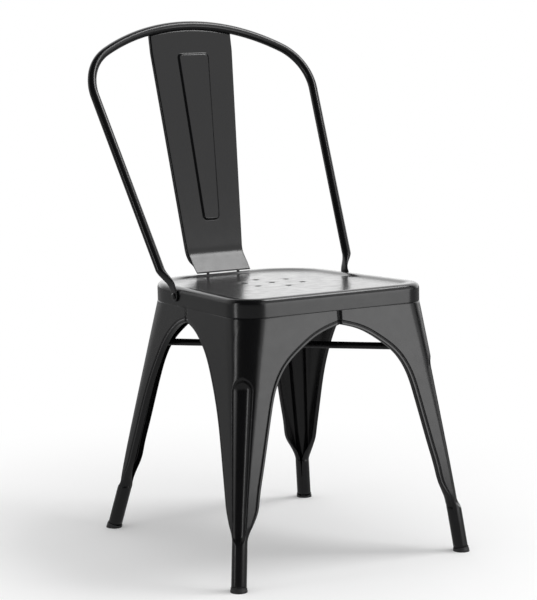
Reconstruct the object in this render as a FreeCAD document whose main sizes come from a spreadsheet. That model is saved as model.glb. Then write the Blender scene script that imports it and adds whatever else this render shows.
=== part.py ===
import FreeCAD
import Part
import Sketcher
import math
import os

from FreeCAD import Placement, Rotation, Vector

# Metal bistro chair: pressed and rolled sheet steel legs and seat, a bent tube
# back hoop and a pressed splat. Millimetres, +Z up, the sitter faces -Y,
# so +X is the sitter's left hand side.

PARTS_FOLDER = "parts"

# Driving dimensions: alias, value, what it is
DIMENSIONS = [
    ("seat_front_width", 364.0, "seat across its front edge line"),
    ("seat_rear_width", 315.0, "seat across its rear edge line"),
    ("seat_depth", 361.0, "seat from front edge to rear edge"),
    ("seat_centre_height", 433.9, "rim crest above the floor at mid depth"),
    ("seat_tilt", 2.06, "degrees that the seat drops to the rear"),
    ("seat_front_corner", 46.0, "plan radius of the front corners"),
    ("seat_rear_corner", 100.0, "plan radius of the rear corners"),
    ("seat_skirt_height", 29.5, "rim crest to lower edge of the skirt"),
    ("rim_roll", 9.0, "radius where the skirt rolls into the rim"),
    ("rim_width", 17.0, "skirt face to where the dish begins to fall"),
    ("dish_slope_run", 12.0, "width of the slope from rim to dish"),
    ("dish_depth", 3.5, "rim crest to dish floor"),
    ("sheet_thickness", 1.2, "pressed steel sheet"),
    ("drain_hole_diameter", 9.0, "holes in the dish"),
    ("drain_ring_radius", 50.0, "hole ring about the middle hole"),
    ("drain_centre_offset", 14.0, "middle hole behind the seat middle"),
    ("seam_gap", 0.6, "open line between skirt and leg"),
    ("lap_gap", 0.3, "clearance between lapped sheets"),
    ("lap_height", 12.0, "leg tab that stands up inside the skirt"),
    ("leg_butt_gap", 0.4, "open line where two legs butt"),
    ("side_butt_offset", 4.5, "side butt line behind the seat middle"),
    ("front_foot_spread", 427.6, "between front foot centres on the floor"),
    ("rear_foot_spread", 388.0, "between rear foot centres on the floor"),
    ("front_foot_reach", 226.0, "front feet ahead of the seat middle"),
    ("rear_foot_reach", 209.4, "rear feet behind the seat middle"),
    ("front_tube_tilt_x", 0.116, "front foot tube slope inward across"),
    ("front_tube_tilt_y", 0.148, "front foot tube slope inward along"),
    ("rear_tube_tilt_x", 0.190, "rear foot tube slope inward across"),
    ("rear_tube_tilt_y", 0.195, "rear foot tube slope inward along"),
    ("foot_tube_diameter", 24.0, "rolled tube at the foot"),
    ("foot_tube_height", 75.0, "floor to where the leg faces open out"),
    ("foot_tube_overlap", 34.0, "tube wall that climbs inside the leg"),
    ("foot_tube_slant", 54.0, "degrees of the slanted cut on top of the tube"),
    ("foot_slit_width", 1.6, "open line down the inside of the tube"),
    ("foot_slit_drop", 32.0, "slit below the top of the foot tube"),
    ("arch_drop", 22.5, "seam to the lower edge of the arch crown"),
    ("arch_face_width", 38.0, "leg face where the arch meets the foot"),
    ("arch_foot_rise", 40.0, "arch end above the top of the foot tube"),
    ("arch_strip_width", 7.0, "pressed strip along the arch"),
    ("arch_strip_step", 1.0, "strip pressed below the leg face"),
    ("arch_flange_depth", 9.0, "edge turned inward along the arch"),
    ("flute_top_height", 316.0, "floor to the top of the flute"),
    ("flute_bottom_height", 76.0, "floor to the bottom of the flute"),
    ("flute_top_width", 32.0, "flute across near its top"),
    ("flute_bottom_width", 20.0, "flute across near its bottom"),
    ("flute_top_radius", 19.0, "hollow of the flute near its top"),
    ("flute_bottom_radius", 12.0, "hollow of the flute near its bottom"),
    ("brace_diameter", 11.5, "round brace bars"),
    ("brace_height", 329.0, "upper brace above the floor at the middle"),
    ("brace_wall", 1.5, "wall of the brace bars"),
    ("brace_tab_height", 17.0, "flattened tab at a brace end"),
    ("brace_tab_length", 16.0, "flattened tab along the bar"),
    ("brace_tab_thickness", 3.0, "flattened tab"),
    ("glide_diameter", 26.5, "foot glide"),
    ("glide_height", 6.6, "foot glide below the tube end and round it"),
    ("glide_lip_height", 3.2, "wider lower step of the glide"),
    ("glide_step", 0.5, "upper step of the glide is smaller by this"),
    ("glide_plug_height", 14.0, "plug inside the tube"),
    ("fit_gap", 0.2, "clearance of a plug or a bolt"),
    ("hoop_diameter", 15.0, "back hoop tube"),
    ("hoop_wall", 1.5, "wall of the back hoop tube"),
    ("hoop_height", 850.0, "top of the chair"),
    ("hoop_reach", 280.0, "hoop top centre behind the seat middle"),
    ("hoop_lean", 29.4, "degrees that the hoop plane leans back"),
    ("hoop_crown_radius", 351.5, "bend across the top"),
    ("hoop_shoulder_radius", 84.0, "bend at the shoulders"),
    ("hoop_shoulder_width", 458.4, "arm lines apart, carried up to the top"),
    ("hoop_arm_taper", 0.1054, "inward slope of each arm"),
    ("hoop_eye_drop", 15.9, "eye below the rim crest at mid depth"),
    ("hoop_flat_thickness", 3.2, "flattened end of the hoop"),
    ("hoop_flat_width", 18.0, "flattened end across"),
    ("hoop_flat_length", 16.0, "eye to where the tube is half round again"),
    ("hoop_bend_length", 34.0, "length over which an arm closes in"),
    ("bolt_diameter", 6.0, "hoop bolts"),
    ("bolt_head_diameter", 10.5, "domed head"),
    ("bolt_head_height", 3.3, "domed head"),
    ("bolt_length", 16.0, "under the head"),
    ("nut_across_flats", 10.0, "hoop bolt nuts"),
    ("nut_height", 5.0, "hoop bolt nuts"),
    ("washer_diameter", 12.0, "hoop bolt washers"),
    ("washer_thickness", 1.2, "hoop bolt washers"),
    ("splat_top_width", 165.0, "splat at its top corners"),
    ("splat_bottom_width", 103.0, "splat at its foot"),
    ("splat_lean", 12.15, "degrees that the splat leans back"),
    ("splat_foot_reach", 166.0, "tip of the splat foot behind the middle"),
    ("splat_foot_bend", 30.0, "bend radius above the foot"),
    ("splat_foot_turn", 31.0, "degrees that the foot turns forward"),
    ("splat_foot_length", 34.0, "straight foot below the bend"),
    ("splat_foot_gap", 1.0, "open line under the splat foot"),
    ("splat_edge_return", 6.5, "edges turned back"),
    ("splat_panel_top_width", 64.0, "raised panel at its top"),
    ("splat_panel_bottom_width", 34.0, "raised panel at its bottom"),
    ("splat_panel_top_gap", 47.0, "hoop to the raised panel"),
    ("splat_panel_length", 290.0, "raised panel"),
    ("splat_panel_raise", 2.4, "height of the raised panel"),
    ("splat_panel_corner", 9.0, "corner radius of the raised panel"),
    ("stud_diameter", 5.0, "welded studs under the splat foot"),
    ("stud_length", 12.0, "stud below the seat rim"),
    ("stud_spacing", 60.0, "between the studs"),
    ("stud_nut_across_flats", 8.0, "stud nuts"),
    ("stud_nut_height", 4.0, "stud nuts"),
    ("stud_washer_diameter", 9.0, "stud washers"),
    ("stud_washer_thickness", 1.0, "stud washers"),
    ("weld_bead_diameter", 3.0, "beads behind the four butt lines"),
    ("weld_bead_length", 11.0, "beads behind the four butt lines"),
]

# Arch outlines as shares: half span from crown to foot, height from foot to crown
FRONT_ARCH = [(0.0, 1.0), (0.24, 0.953), (0.43, 0.882), (0.60, 0.793), (0.72, 0.670),
              (0.785, 0.535), (0.845, 0.385), (0.905, 0.235), (0.965, 0.085), (1.0, 0.0)]
SIDE_ARCH = [(0.0, 1.0), (0.16, 0.966), (0.285, 0.916), (0.40, 0.850), (0.52, 0.745),
             (0.64, 0.610), (0.73, 0.485), (0.80, 0.365), (0.88, 0.215), (0.955, 0.075),
             (1.0, 0.0)]

doc = FreeCAD.newDocument("bistro_chair")
sheet = doc.addObject("Spreadsheet::Sheet", "Sizes")
for row, (alias, value, note) in enumerate(DIMENSIONS, start=1):
    sheet.set("A%d" % row, note)
    sheet.set("B%d" % row, str(value))
    sheet.setAlias("B%d" % row, alias)
doc.recompute()


class Sizes:
    """Reads a driving dimension from the sheet by its name."""

    def __getattr__(self, name):
        return float(sheet.get(name))


size = Sizes()
UP = Vector(0, 0, 1)
FAR = 1000.0

# Surfaces that would touch along a line are kept this far apart
SKIN = 0.03

# How far the inside of a leg is carried past its open sides, so that they stay open
SPARE = 8.0

# Arch openings are cut by prisms from inside the legs to outside them
ARCH_PRISM_START = 100.0
ARCH_PRISM_DEPTH = 180.0

# How far such a prism runs past the foot and past the butt line
ARCH_PRISM_BELOW = 60.0
ARCH_PRISM_ASIDE = 30.0

# Half length of the cutters of holes and washers through a sheet
HOLE_REACH = 6.0
WASHER_REACH = 8.0

# How far the rim section and the dish floor run past the slope into each other
DISH_LAP = 4.0

# How far the inside of a leg is carried below the top of its foot tube
HULL_DROP = 20.0

# Share of the sheet that shows as a step where the leg meets the skirt
JOGGLE_SHARE = 0.4

# Share of the arm's bend that stays hollow, and the share of the foot with turned edges
HOLLOW_SHARE = 0.6
FOOT_EDGE_SHARE = 0.4

# Sections of the flattened hoop end, and points round each of them
END_STEPS = 6
END_POINTS = 16

# Half depth of the prism that trims the splat's outline
SPLAT_PRISM = 60.0

# How far the slit of a foot tube runs past its slanted top
SLIT_SPARE = 20.0


# Seat frame: its origin lies on the rim crest plane at mid depth
def seat_placement():
    turn = Rotation(Vector(1, 0, 0), -size.seat_tilt)
    return Placement(Vector(0, 0, size.seat_centre_height), turn)


def seat_point(x, y, z):
    return seat_placement().multVec(Vector(x, y, z))


def seat_side_slope():
    return (size.seat_front_width - size.seat_rear_width) / 2 / size.seat_depth


def seat_half_width(y):
    return size.seat_front_width / 2 - seat_side_slope() * (y + size.seat_depth / 2)


def rounded_corner(before, corner, after, radius):
    """Tangent points, middle point and centre of an arc at a plan corner."""
    to_before = (before - corner).normalize()
    to_after = (after - corner).normalize()
    half = to_before.getAngle(to_after) / 2
    reach = radius / math.tan(half)
    middle_line = (to_before + to_after).normalize()
    centre = corner + middle_line * (radius / math.sin(half))
    start = corner + to_before * reach
    end = corner + to_after * reach
    return start, centre - middle_line * radius, end, centre


def seat_corners(inset):
    """Plan corners of the seat, counter-clockwise from the front left one."""
    slope = seat_side_slope()
    stretch = math.hypot(1, slope)
    front = -size.seat_depth / 2 + inset
    rear = size.seat_depth / 2 - inset
    front_x = seat_half_width(front) - inset * stretch
    rear_x = seat_half_width(rear) - inset * stretch
    return [Vector(-front_x, front, 0), Vector(front_x, front, 0),
            Vector(rear_x, rear, 0), Vector(-rear_x, rear, 0)]


def seat_corner_arcs(inset):
    corners = seat_corners(inset)
    radii = [size.seat_front_corner, size.seat_front_corner,
             size.seat_rear_corner, size.seat_rear_corner]
    arcs = []
    for i in range(4):
        arcs.append(rounded_corner(corners[i - 1], corners[i], corners[(i + 1) % 4],
                                   radii[i] - inset))
    return arcs


def seat_outline(inset, z):
    """Closed outline of the seat, moved inward by the inset, at a height."""
    arcs = seat_corner_arcs(inset)
    lift = Vector(0, 0, z)
    edges = []
    for i in range(4):
        start, middle, end, _ = arcs[i]
        edges.append(Part.Arc(start + lift, middle + lift, end + lift).toShape())
        edges.append(Part.LineSegment(end + lift, arcs[(i + 1) % 4][0] + lift).toShape())
    return Part.Wire(edges)


def seat_prism(inset, bottom, top):
    face = Part.Face(seat_outline(inset, bottom))
    return face.extrude(Vector(0, 0, top - bottom))


def rim_profile(origin, inward):
    """Section of the rim sheet: skirt, roll, crest and the slope to the dish."""
    t = size.sheet_thickness
    roll = size.rim_roll
    run = size.dish_slope_run
    drop = size.dish_depth
    turn = 2 * math.atan(drop / run)
    bend = run / 2 / math.sin(turn)
    flat = size.rim_width
    end = flat + run + DISH_LAP

    def at(r, z):
        return origin + inward * r + UP * z

    def arc(centre_r, centre_z, radius, first, last):
        points = []
        for share in (0.0, 0.5, 1.0):
            angle = first + (last - first) * share
            points.append(at(centre_r + radius * math.sin(angle),
                             centre_z + radius * math.cos(angle)))
        return Part.Arc(*points).toShape()

    quarter = math.pi / 2
    outer = [Part.LineSegment(at(0, -size.seat_skirt_height), at(0, -roll)).toShape(),
             arc(roll, -roll, roll, -quarter, 0),
             Part.LineSegment(at(roll, 0), at(flat, 0)).toShape(),
             arc(flat, -bend, bend, 0, turn),
             arc(flat + run, bend - drop, bend, math.pi + turn, math.pi),
             Part.LineSegment(at(flat + run, -drop), at(end, -drop)).toShape()]
    inner = [Part.LineSegment(at(end, -drop), at(end, -drop - t)).toShape(),
             Part.LineSegment(at(end, -drop - t), at(flat + run, -drop - t)).toShape(),
             arc(flat + run, bend - drop, bend + t, math.pi, math.pi + turn),
             arc(flat, -bend, bend - t, turn, 0),
             Part.LineSegment(at(flat, -t), at(roll, -t)).toShape(),
             arc(roll, -roll, roll - t, 0, -quarter),
             Part.LineSegment(at(t, -roll), at(t, -size.seat_skirt_height)).toShape(),
             Part.LineSegment(at(t, -size.seat_skirt_height),
                              at(0, -size.seat_skirt_height)).toShape()]
    return Part.Face(Part.Wire(outer + inner))


def seat_rim():
    """The rim section run along the four sides and turned round the corners."""
    arcs = seat_corner_arcs(0)
    pieces = []
    for i in range(4):
        start, _, end, centre = arcs[i]
        next_start = arcs[(i + 1) % 4][0]
        inward = (centre - end).normalize()
        side = rim_profile(end, inward)
        pieces.append(side.extrude(next_start - end))
        corner = rim_profile(start, (centre - start).normalize())
        sweep = math.degrees((start - centre).getAngle(end - centre))
        pieces.append(corner.revolve(centre, UP, sweep))
    return pieces[0].multiFuse(pieces[1:])


def drain_holes():
    centre = Vector(0, size.drain_centre_offset, -size.dish_depth - 2 * size.sheet_thickness)
    spots = [centre]
    for i in range(6):
        angle = math.radians(30 + 60 * i)
        spots.append(centre + Vector(math.cos(angle), math.sin(angle), 0) * size.drain_ring_radius)
    height = 3 * size.sheet_thickness
    return [Part.makeCylinder(size.drain_hole_diameter / 2, height, spot) for spot in spots]


def eye_spot():
    """Middle of the hoop eye on the outer face of the skirt, in the seat frame."""
    lean = math.tan(math.radians(size.hoop_lean))
    top = size.hoop_height - size.hoop_diameter / 2
    rise = size.seat_centre_height - size.hoop_eye_drop
    y_floor = size.hoop_reach - (top - rise) * lean
    spot = seat_placement().inverse().multVec(Vector(0, y_floor, rise))
    return Vector(seat_half_width(spot.y), spot.y, spot.z)


def skirt_normal(side):
    return Vector(side, seat_side_slope(), 0).normalize()


def bolt_hole(side, radius, reach):
    spot = eye_spot()
    outward = skirt_normal(side)
    start = Vector(side * spot.x, spot.y, spot.z) - outward * reach
    return Part.makeCylinder(radius, 2 * reach, start, outward)


def splat_tip():
    """Where the tip of the splat foot lies over the rim crest, in the seat frame."""
    level = Vector(0, size.splat_foot_reach, size.seat_centre_height)
    return Vector(0, seat_placement().inverse().multVec(level).y, 0)


def stud_spots():
    """Where the studs of the splat foot pass the rim crest, in the seat frame."""
    tip = splat_tip()
    back = tip.y + size.stud_diameter / 2 + size.lap_gap
    return [Vector(side * size.stud_spacing / 2, back, 0) for side in (-1, 1)]


def make_seat_pan():
    floor_top = -size.dish_depth
    inset = size.rim_width + size.dish_slope_run + DISH_LAP
    floor = seat_prism(inset, floor_top - size.sheet_thickness, floor_top)
    pan = seat_rim().fuse(floor)
    cutters = drain_holes()
    for side in (-1, 1):
        cutters.append(bolt_hole(side, size.bolt_diameter / 2 + size.fit_gap, HOLE_REACH))
    for spot in stud_spots():
        hole = size.stud_diameter / 2 + size.fit_gap
        cutters.append(Part.makeCylinder(hole, HOLE_REACH, spot - UP * HOLE_REACH / 2))
    pan = pan.cut(cutters).removeSplitter()
    pan.Placement = seat_placement()
    return pan


# Legs: each is worked out on the +X side, the front one and the rear one
class Leg:
    """Planes, corner and arches of one leg; ahead is -1 in front, +1 behind."""

    def __init__(self, ahead):
        self.ahead = ahead
        depth = size.seat_depth / 2
        skirt = -size.seat_skirt_height
        self.seam_end = seat_point(0, ahead * depth, skirt)
        side_x = seat_half_width(ahead * depth)
        self.seam_corner = seat_point(side_x, ahead * depth, skirt)
        middle = size.side_butt_offset
        self.seam_middle = seat_point(seat_half_width(middle), middle, skirt)
        if ahead < 0:
            self.foot = Vector(size.front_foot_spread / 2, -size.front_foot_reach, 0)
            self.slope = Vector(-size.front_tube_tilt_x, size.front_tube_tilt_y, 1)
            self.top_corner = size.seat_front_corner
        else:
            self.foot = Vector(size.rear_foot_spread / 2, size.rear_foot_reach, 0)
            self.slope = Vector(-size.rear_tube_tilt_x, -size.rear_tube_tilt_y, 1)
            self.top_corner = size.seat_rear_corner
        self.low = size.foot_tube_height
        self.radius = size.foot_tube_diameter / 2
        self.tube_top = self.foot + self.slope * self.low
        self.split_y = self.seam_middle.y

    def end_line(self, z):
        """Y of the front or rear face at a height."""
        low_y = self.tube_top.y + self.ahead * self.radius
        share = (z - self.low) / (self.seam_end.z - self.low)
        return low_y + (self.seam_end.y - low_y) * share

    def side_line(self, z):
        """A point and a direction of the side face at a height."""
        along = self.seam_corner - self.seam_middle
        touch = self.tube_top + Vector(self.radius, 0, 0)
        normal = along.cross(touch - self.seam_middle)
        corner_y = self.end_line(z)

        def x_at(y):
            drop = normal.y * (y - self.seam_middle.y) + normal.z * (z - self.seam_middle.z)
            return self.seam_middle.x - drop / normal.x

        return Vector(x_at(corner_y), corner_y, z), Vector(x_at(self.split_y), self.split_y, z)

    def corner_radius(self, z):
        share = (z - self.low) / (self.seam_corner.z - self.low)
        return self.radius + (self.top_corner - self.radius) * share

    def section(self, z, inset, spare):
        """Plan corners of the quarter that this leg wraps, moved inward."""
        gap = size.leg_butt_gap / 2
        corner, middle = self.side_line(z)
        direction = (middle - corner).normalize()
        inward = Vector(direction.y, -direction.x, 0) * self.ahead
        corner_in = corner + inward * inset
        y_in = corner.y - self.ahead * inset
        vertex = corner_in + direction * ((y_in - corner_in.y) / direction.y)
        far_y = self.split_y + self.ahead * (gap - spare)
        side_end = corner_in + direction * ((far_y - corner_in.y) / direction.y)
        start = Vector(gap - spare, y_in, z)
        bend = max(self.corner_radius(z) - inset, size.sheet_thickness / 2)
        arc_start, arc_middle, arc_end, _ = rounded_corner(start, vertex, side_end, bend)
        back = Vector(gap - spare, far_y, z)
        return start, arc_start, arc_middle, arc_end, side_end, back

    def hull(self, inset, spare=0.0):
        """Solid quarter of the chair under the seam, moved inward."""
        low = self.section(self.low - (HULL_DROP if spare else 0), inset, spare)
        high = self.section(size.seat_centre_height, inset, spare)
        arcs = [Part.Arc(*level[1:4]).toShape() for level in (low, high)]
        faces = [Part.makeRuledSurface(*arcs)]
        for i, j in ((0, 1), (3, 4), (4, 5), (5, 0)):
            loop = [low[i], low[j], high[j], high[i], low[i]]
            faces.append(Part.Face(Part.makePolygon(loop)))
        for level, arc in zip((low, high), arcs):
            edges = [Part.LineSegment(level[0], level[1]).toShape(), arc,
                     Part.LineSegment(level[3], level[4]).toShape(),
                     Part.LineSegment(level[4], level[5]).toShape(),
                     Part.LineSegment(level[5], level[0]).toShape()]
            faces.append(Part.Face(Part.Wire(edges)))
        shell = Part.makeShell(faces)
        shell.sewShape()
        solid = Part.makeSolid(shell)
        if solid.Volume < 0:
            solid.reverse()
        return solid

    def ridge(self, z):
        """Outermost point of the rounded corner at a height, and the way out."""
        corner, middle = self.side_line(z)
        start = Vector(0, corner.y, z)
        _, top, _, centre = rounded_corner(start, corner, middle, self.corner_radius(z))
        return top, (top - centre).normalize()


def seam_cutter(height):
    """Everything above the skirt edge, lowered by a height."""
    box = Part.makeBox(2 * FAR, 2 * FAR, FAR)
    box.translate(Vector(-FAR, -FAR, -size.seat_skirt_height - height))
    box.Placement = seat_placement().multiply(box.Placement)
    return box


def arch_points(leg, shares, along_side):
    """Arch edge from crown to foot: distance from the butt line and height."""
    low = leg.low + size.arch_foot_rise
    corner, _ = leg.side_line(low)
    if along_side:
        crown = leg.seam_middle.z - size.arch_drop
        span = abs(corner.y - leg.split_y) - size.arch_face_width
    else:
        crown = leg.seam_end.z - size.arch_drop
        span = corner.x - size.arch_face_width
    points = [(span * across, low + (crown - low) * up) for across, up in shares]
    tube = leg.tube_top
    if along_side:
        inner = abs(tube.y - leg.split_y) - leg.radius
    else:
        inner = tube.x - leg.radius
    points.append(((points[-1][0] + inner) / 2 + 2, (low + leg.low) / 2 + 2))
    points.append((inner + 4, leg.low - 2))
    return points


def arch_prism(leg, shares, along_side, grow):
    """Opening under an arch as a solid; grow moves its edge into the sheet."""
    points = arch_points(leg, shares, along_side)
    curve = Part.BSplineCurve()
    curve.interpolate([Vector(a, b, 0) for a, b in points])
    stations = 14
    first, last = curve.FirstParameter, curve.LastParameter
    edge = []
    for i in range(stations + 1):
        u = first + (last - first) * i / stations
        tangent = Vector(*curve.tangent(u)[0])
        out = Vector(-tangent.y, tangent.x, 0)
        edge.append(curve.value(u) + out * grow)
    edge[0] = Vector(0, edge[0].y, 0)
    below = leg.low - ARCH_PRISM_BELOW
    behind = -ARCH_PRISM_ASIDE

    def place(across, up):
        """Arch coordinates to the chair, on a plane inside the leg face."""
        if along_side:
            return Vector(ARCH_PRISM_START, leg.split_y + leg.ahead * across, up)
        return Vector(across, leg.ahead * ARCH_PRISM_START, up)

    rim = Part.BSplineCurve()
    rim.interpolate([place(p.x, p.y) for p in edge])
    corners = [place(edge[-1].x, edge[-1].y), place(edge[-1].x, below),
               place(behind, below), place(behind, edge[0].y), place(0, edge[0].y)]
    edges = [rim.toShape()]
    for start, end in zip(corners, corners[1:]):
        edges.append(Part.LineSegment(start, end).toShape())
    face = Part.Face(Part.Wire(edges))
    way = Vector(1, 0, 0) if along_side else Vector(0, leg.ahead, 0)
    return face.extrude(way * ARCH_PRISM_DEPTH)


def flute_cutter(leg, grow):
    """Long tapered finger with round ends that presses the corner inward."""
    ends = []
    specs = [(size.flute_top_height, -1, size.flute_top_width, size.flute_top_radius),
             (size.flute_bottom_height, 1, size.flute_bottom_width, size.flute_bottom_radius)]
    for height, way, width, radius in specs:
        z = height + way * width / 2
        ridge, out = leg.ridge(z)
        corner = leg.corner_radius(z)
        half = width / 2
        crown = corner - math.sqrt(corner ** 2 - half ** 2)
        hollow = radius - math.sqrt(radius ** 2 - half ** 2)
        ends.append((ridge + out * (radius - crown - hollow), radius))
    (top, top_radius), (low, low_radius) = ends
    length = (top - low).Length
    axis = (top - low).normalize()
    out = (out - axis * out.dot(axis)).normalize()
    top_radius += grow
    low_radius += grow
    touch = -math.asin((top_radius - low_radius) / length)
    quarter = math.pi / 2

    def on(centre, radius, angle):
        return centre + (out * math.cos(angle) + axis * math.sin(angle)) * radius

    outline = [Part.Arc(on(low, low_radius, -quarter), on(low, low_radius, (touch - quarter) / 2),
                        on(low, low_radius, touch)),
               Part.LineSegment(on(low, low_radius, touch), on(top, top_radius, touch)),
               Part.Arc(on(top, top_radius, touch), on(top, top_radius, (touch + quarter) / 2),
                        on(top, top_radius, quarter)),
               Part.LineSegment(on(top, top_radius, quarter), on(low, low_radius, -quarter))]
    face = Part.Face(Part.Wire([edge.toShape() for edge in outline]))
    face.rotate(low, axis, 180)
    return face.revolve(low, axis, 360)


def foot_tube(leg):
    """Rolled tube of the foot, cut on the slant above and slit on its inside."""
    axis = Vector(leg.slope).normalize()
    reach = (size.foot_tube_height + size.foot_tube_overlap) * leg.slope.Length
    start = leg.foot + axis * size.glide_lip_height
    outer = Part.makeCylinder(leg.radius, reach, start, axis)
    bore = Part.makeCylinder(leg.radius - size.sheet_thickness, reach, start, axis)
    tube = outer.cut(bore)
    inward = Vector(-1, -leg.ahead, 0).normalize()
    slant = Part.makeBox(FAR, FAR, FAR, Vector(0, -FAR / 2, 0))
    slant.rotate(Vector(0, 0, 0), Vector(0, 1, 0), -size.foot_tube_slant)
    slant.rotate(Vector(0, 0, 0), UP, math.degrees(math.atan2(inward.y, inward.x)))
    slant.translate(leg.tube_top + inward * leg.radius)
    slit = Part.makeBox(2 * leg.radius, size.foot_slit_width, size.foot_slit_drop + SLIT_SPARE,
                        Vector(0, -size.foot_slit_width / 2, -size.foot_slit_drop))
    slit.rotate(Vector(0, 0, 0), UP, math.degrees(math.atan2(inward.y, inward.x)))
    slit.translate(leg.tube_top)
    return tube.cut([slant, slit])


def seat_tab(leg):
    """Top of the leg: a joggle at the seam and a tab inside the skirt."""
    t = size.sheet_thickness
    inner = t + size.lap_gap
    skirt = -size.seat_skirt_height
    joggle_top = skirt - size.seam_gap
    joggle = seat_prism(t * JOGGLE_SHARE, joggle_top - t, joggle_top)
    joggle = joggle.cut(seat_prism(inner + t, joggle_top - 2 * t, joggle_top + t))
    tab = seat_prism(inner, joggle_top - t, skirt + size.lap_height)
    tab = tab.cut(seat_prism(inner + t, joggle_top - 2 * t, skirt + size.lap_height + t))
    band = joggle.fuse(tab)
    band.Placement = seat_placement()
    gap = size.leg_butt_gap / 2
    quarter = Part.makeBox(FAR, FAR, FAR)
    y_low = leg.split_y + gap if leg.ahead > 0 else leg.split_y - gap - FAR
    quarter.translate(Vector(gap, y_low, 0))
    return band.common(quarter)


def leg_solid(leg):
    """Pressed sheet round the corner, its arch edges, flute, foot tube and tab."""
    t = size.sheet_thickness
    step = size.arch_strip_step
    outer = leg.hull(0)
    strip_outer = leg.hull(step)
    face_sheet = outer.cut(leg.hull(t, SPARE))
    strip_sheet = strip_outer.cut(leg.hull(step + t, SPARE))
    flange_sheet = strip_outer.cut(leg.hull(size.arch_flange_depth, SPARE))
    openings = arch_prisms(leg, 0)
    body = face_sheet.cut(arch_prisms(leg, size.arch_strip_width))
    strip = strip_sheet.common(joined(arch_prisms(leg, size.arch_strip_width + t)))
    flange = flange_sheet.common(joined(arch_prisms(leg, t)))
    shell = body.multiFuse([strip, flange])
    pressed = flute_cutter(leg, t)
    shell = shell.cut(openings + [seam_cutter(size.seam_gap), pressed])
    trough = pressed.common(outer)
    shell = shell.multiFuse([trough, foot_tube(leg), seat_tab(leg)])
    shell = shell.cut([flute_cutter(leg, 0), washer_clearance()])
    return shell.removeSplitter()


def joined(shapes):
    return shapes[0].multiFuse(shapes[1:])


def arch_prisms(leg, grow):
    return [arch_prism(leg, FRONT_ARCH, False, grow), arch_prism(leg, SIDE_ARCH, True, grow)]


def washer_clearance():
    """Notch that keeps the leg tab clear of the washer of a hoop bolt."""
    hole = bolt_hole(1, size.washer_diameter / 2 + size.fit_gap, WASHER_REACH)
    hole.Placement = seat_placement().multiply(hole.Placement)
    return hole


def mirrored(shape):
    return shape.mirror(Vector(0, 0, 0), Vector(1, 0, 0))


front_leg = Leg(-1)
rear_leg = Leg(1)


# Back hoop: laid out in its own leaning plane, across and down from its top
def hoop_placement():
    top = size.hoop_height - size.hoop_diameter / 2
    turn = Rotation(Vector(1, 0, 0), -size.hoop_lean)
    return Placement(Vector(0, size.hoop_reach, top), turn)


def hoop_arm_x(drop):
    return size.hoop_shoulder_width / 2 - size.hoop_arm_taper * drop


def hoop_eye():
    """Middle of the flattened end, in the hoop plane."""
    spot = eye_spot()
    outward = skirt_normal(1)
    reach = size.hoop_flat_thickness / 2 + size.lap_gap
    world = seat_placement().multVec(Vector(spot.x, spot.y, spot.z) + outward * reach)
    return hoop_placement().inverse().multVec(world)


def hoop_spine():
    """Centre line of one arm from the middle of the top down to the flattening."""
    crown = size.hoop_crown_radius
    shoulder = size.hoop_shoulder_radius
    down = Vector(-size.hoop_arm_taper, 0, -1).normalize()
    inward = Vector(down.z, 0, -down.x)
    crown_centre = Vector(0, 0, -crown)
    inner_line = Vector(hoop_arm_x(0), 0, 0) + inward * shoulder
    offset = inner_line - crown_centre
    along = offset.dot(down)
    reach = (crown - shoulder) ** 2 - (offset.dot(offset) - along ** 2)
    centre = inner_line + down * (-along - math.sqrt(reach))
    arm_start = centre - inward * shoulder
    tangent = crown_centre + (centre - crown_centre).normalize() * crown
    mid_shoulder = centre + ((tangent - centre).normalize() - inward).normalize() * shoulder
    mid_crown = crown_centre + (tangent - crown_centre + Vector(0, 0, crown)).normalize() * crown
    eye = hoop_eye()
    flat_top = eye + Vector(0, 0, size.hoop_flat_length)
    bend_top_z = flat_top.z + size.hoop_bend_length
    bend_top = Vector(hoop_arm_x(-bend_top_z), 0, bend_top_z)
    return {
        "crown": (Vector(0, 0, 0), mid_crown, tangent),
        "shoulder": (tangent, mid_shoulder, arm_start),
        "arm": (arm_start, bend_top),
        "bend": (bend_top, flat_top),
        "eye": eye,
        "down": down,
    }


def hoop_tube(radius):
    """Round tube from one bend to the other, over the top."""
    spine = hoop_spine()
    crown = Part.Arc(*spine["crown"]).toShape()
    shoulder = Part.Arc(*spine["shoulder"]).toShape()
    arm = Part.LineSegment(*spine["arm"]).toShape()
    wire = Part.Wire([crown, shoulder, arm])
    ring = Part.makeCircle(radius, Vector(0, 0, 0), Vector(1, 0, 0))
    half = wire.makePipeShell([Part.Wire(ring)], True, False)
    return half


def flattened(centre, across, side, a, b, squareness):
    """Closed section that goes from round to a rounded slab with its squareness."""
    power = 2 / squareness
    points = []
    for k in range(END_POINTS):
        angle = 2 * math.pi * k / END_POINTS
        c, d = math.cos(angle), math.sin(angle)
        u = math.copysign(abs(c) ** power, c) * a
        v = math.copysign(abs(d) ** power, d) * b
        points.append(centre + across * u + side * v)
    curve = Part.BSplineCurve()
    curve.interpolate(points, PeriodicFlag=True)
    return Part.Wire(curve.toShape())


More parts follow.
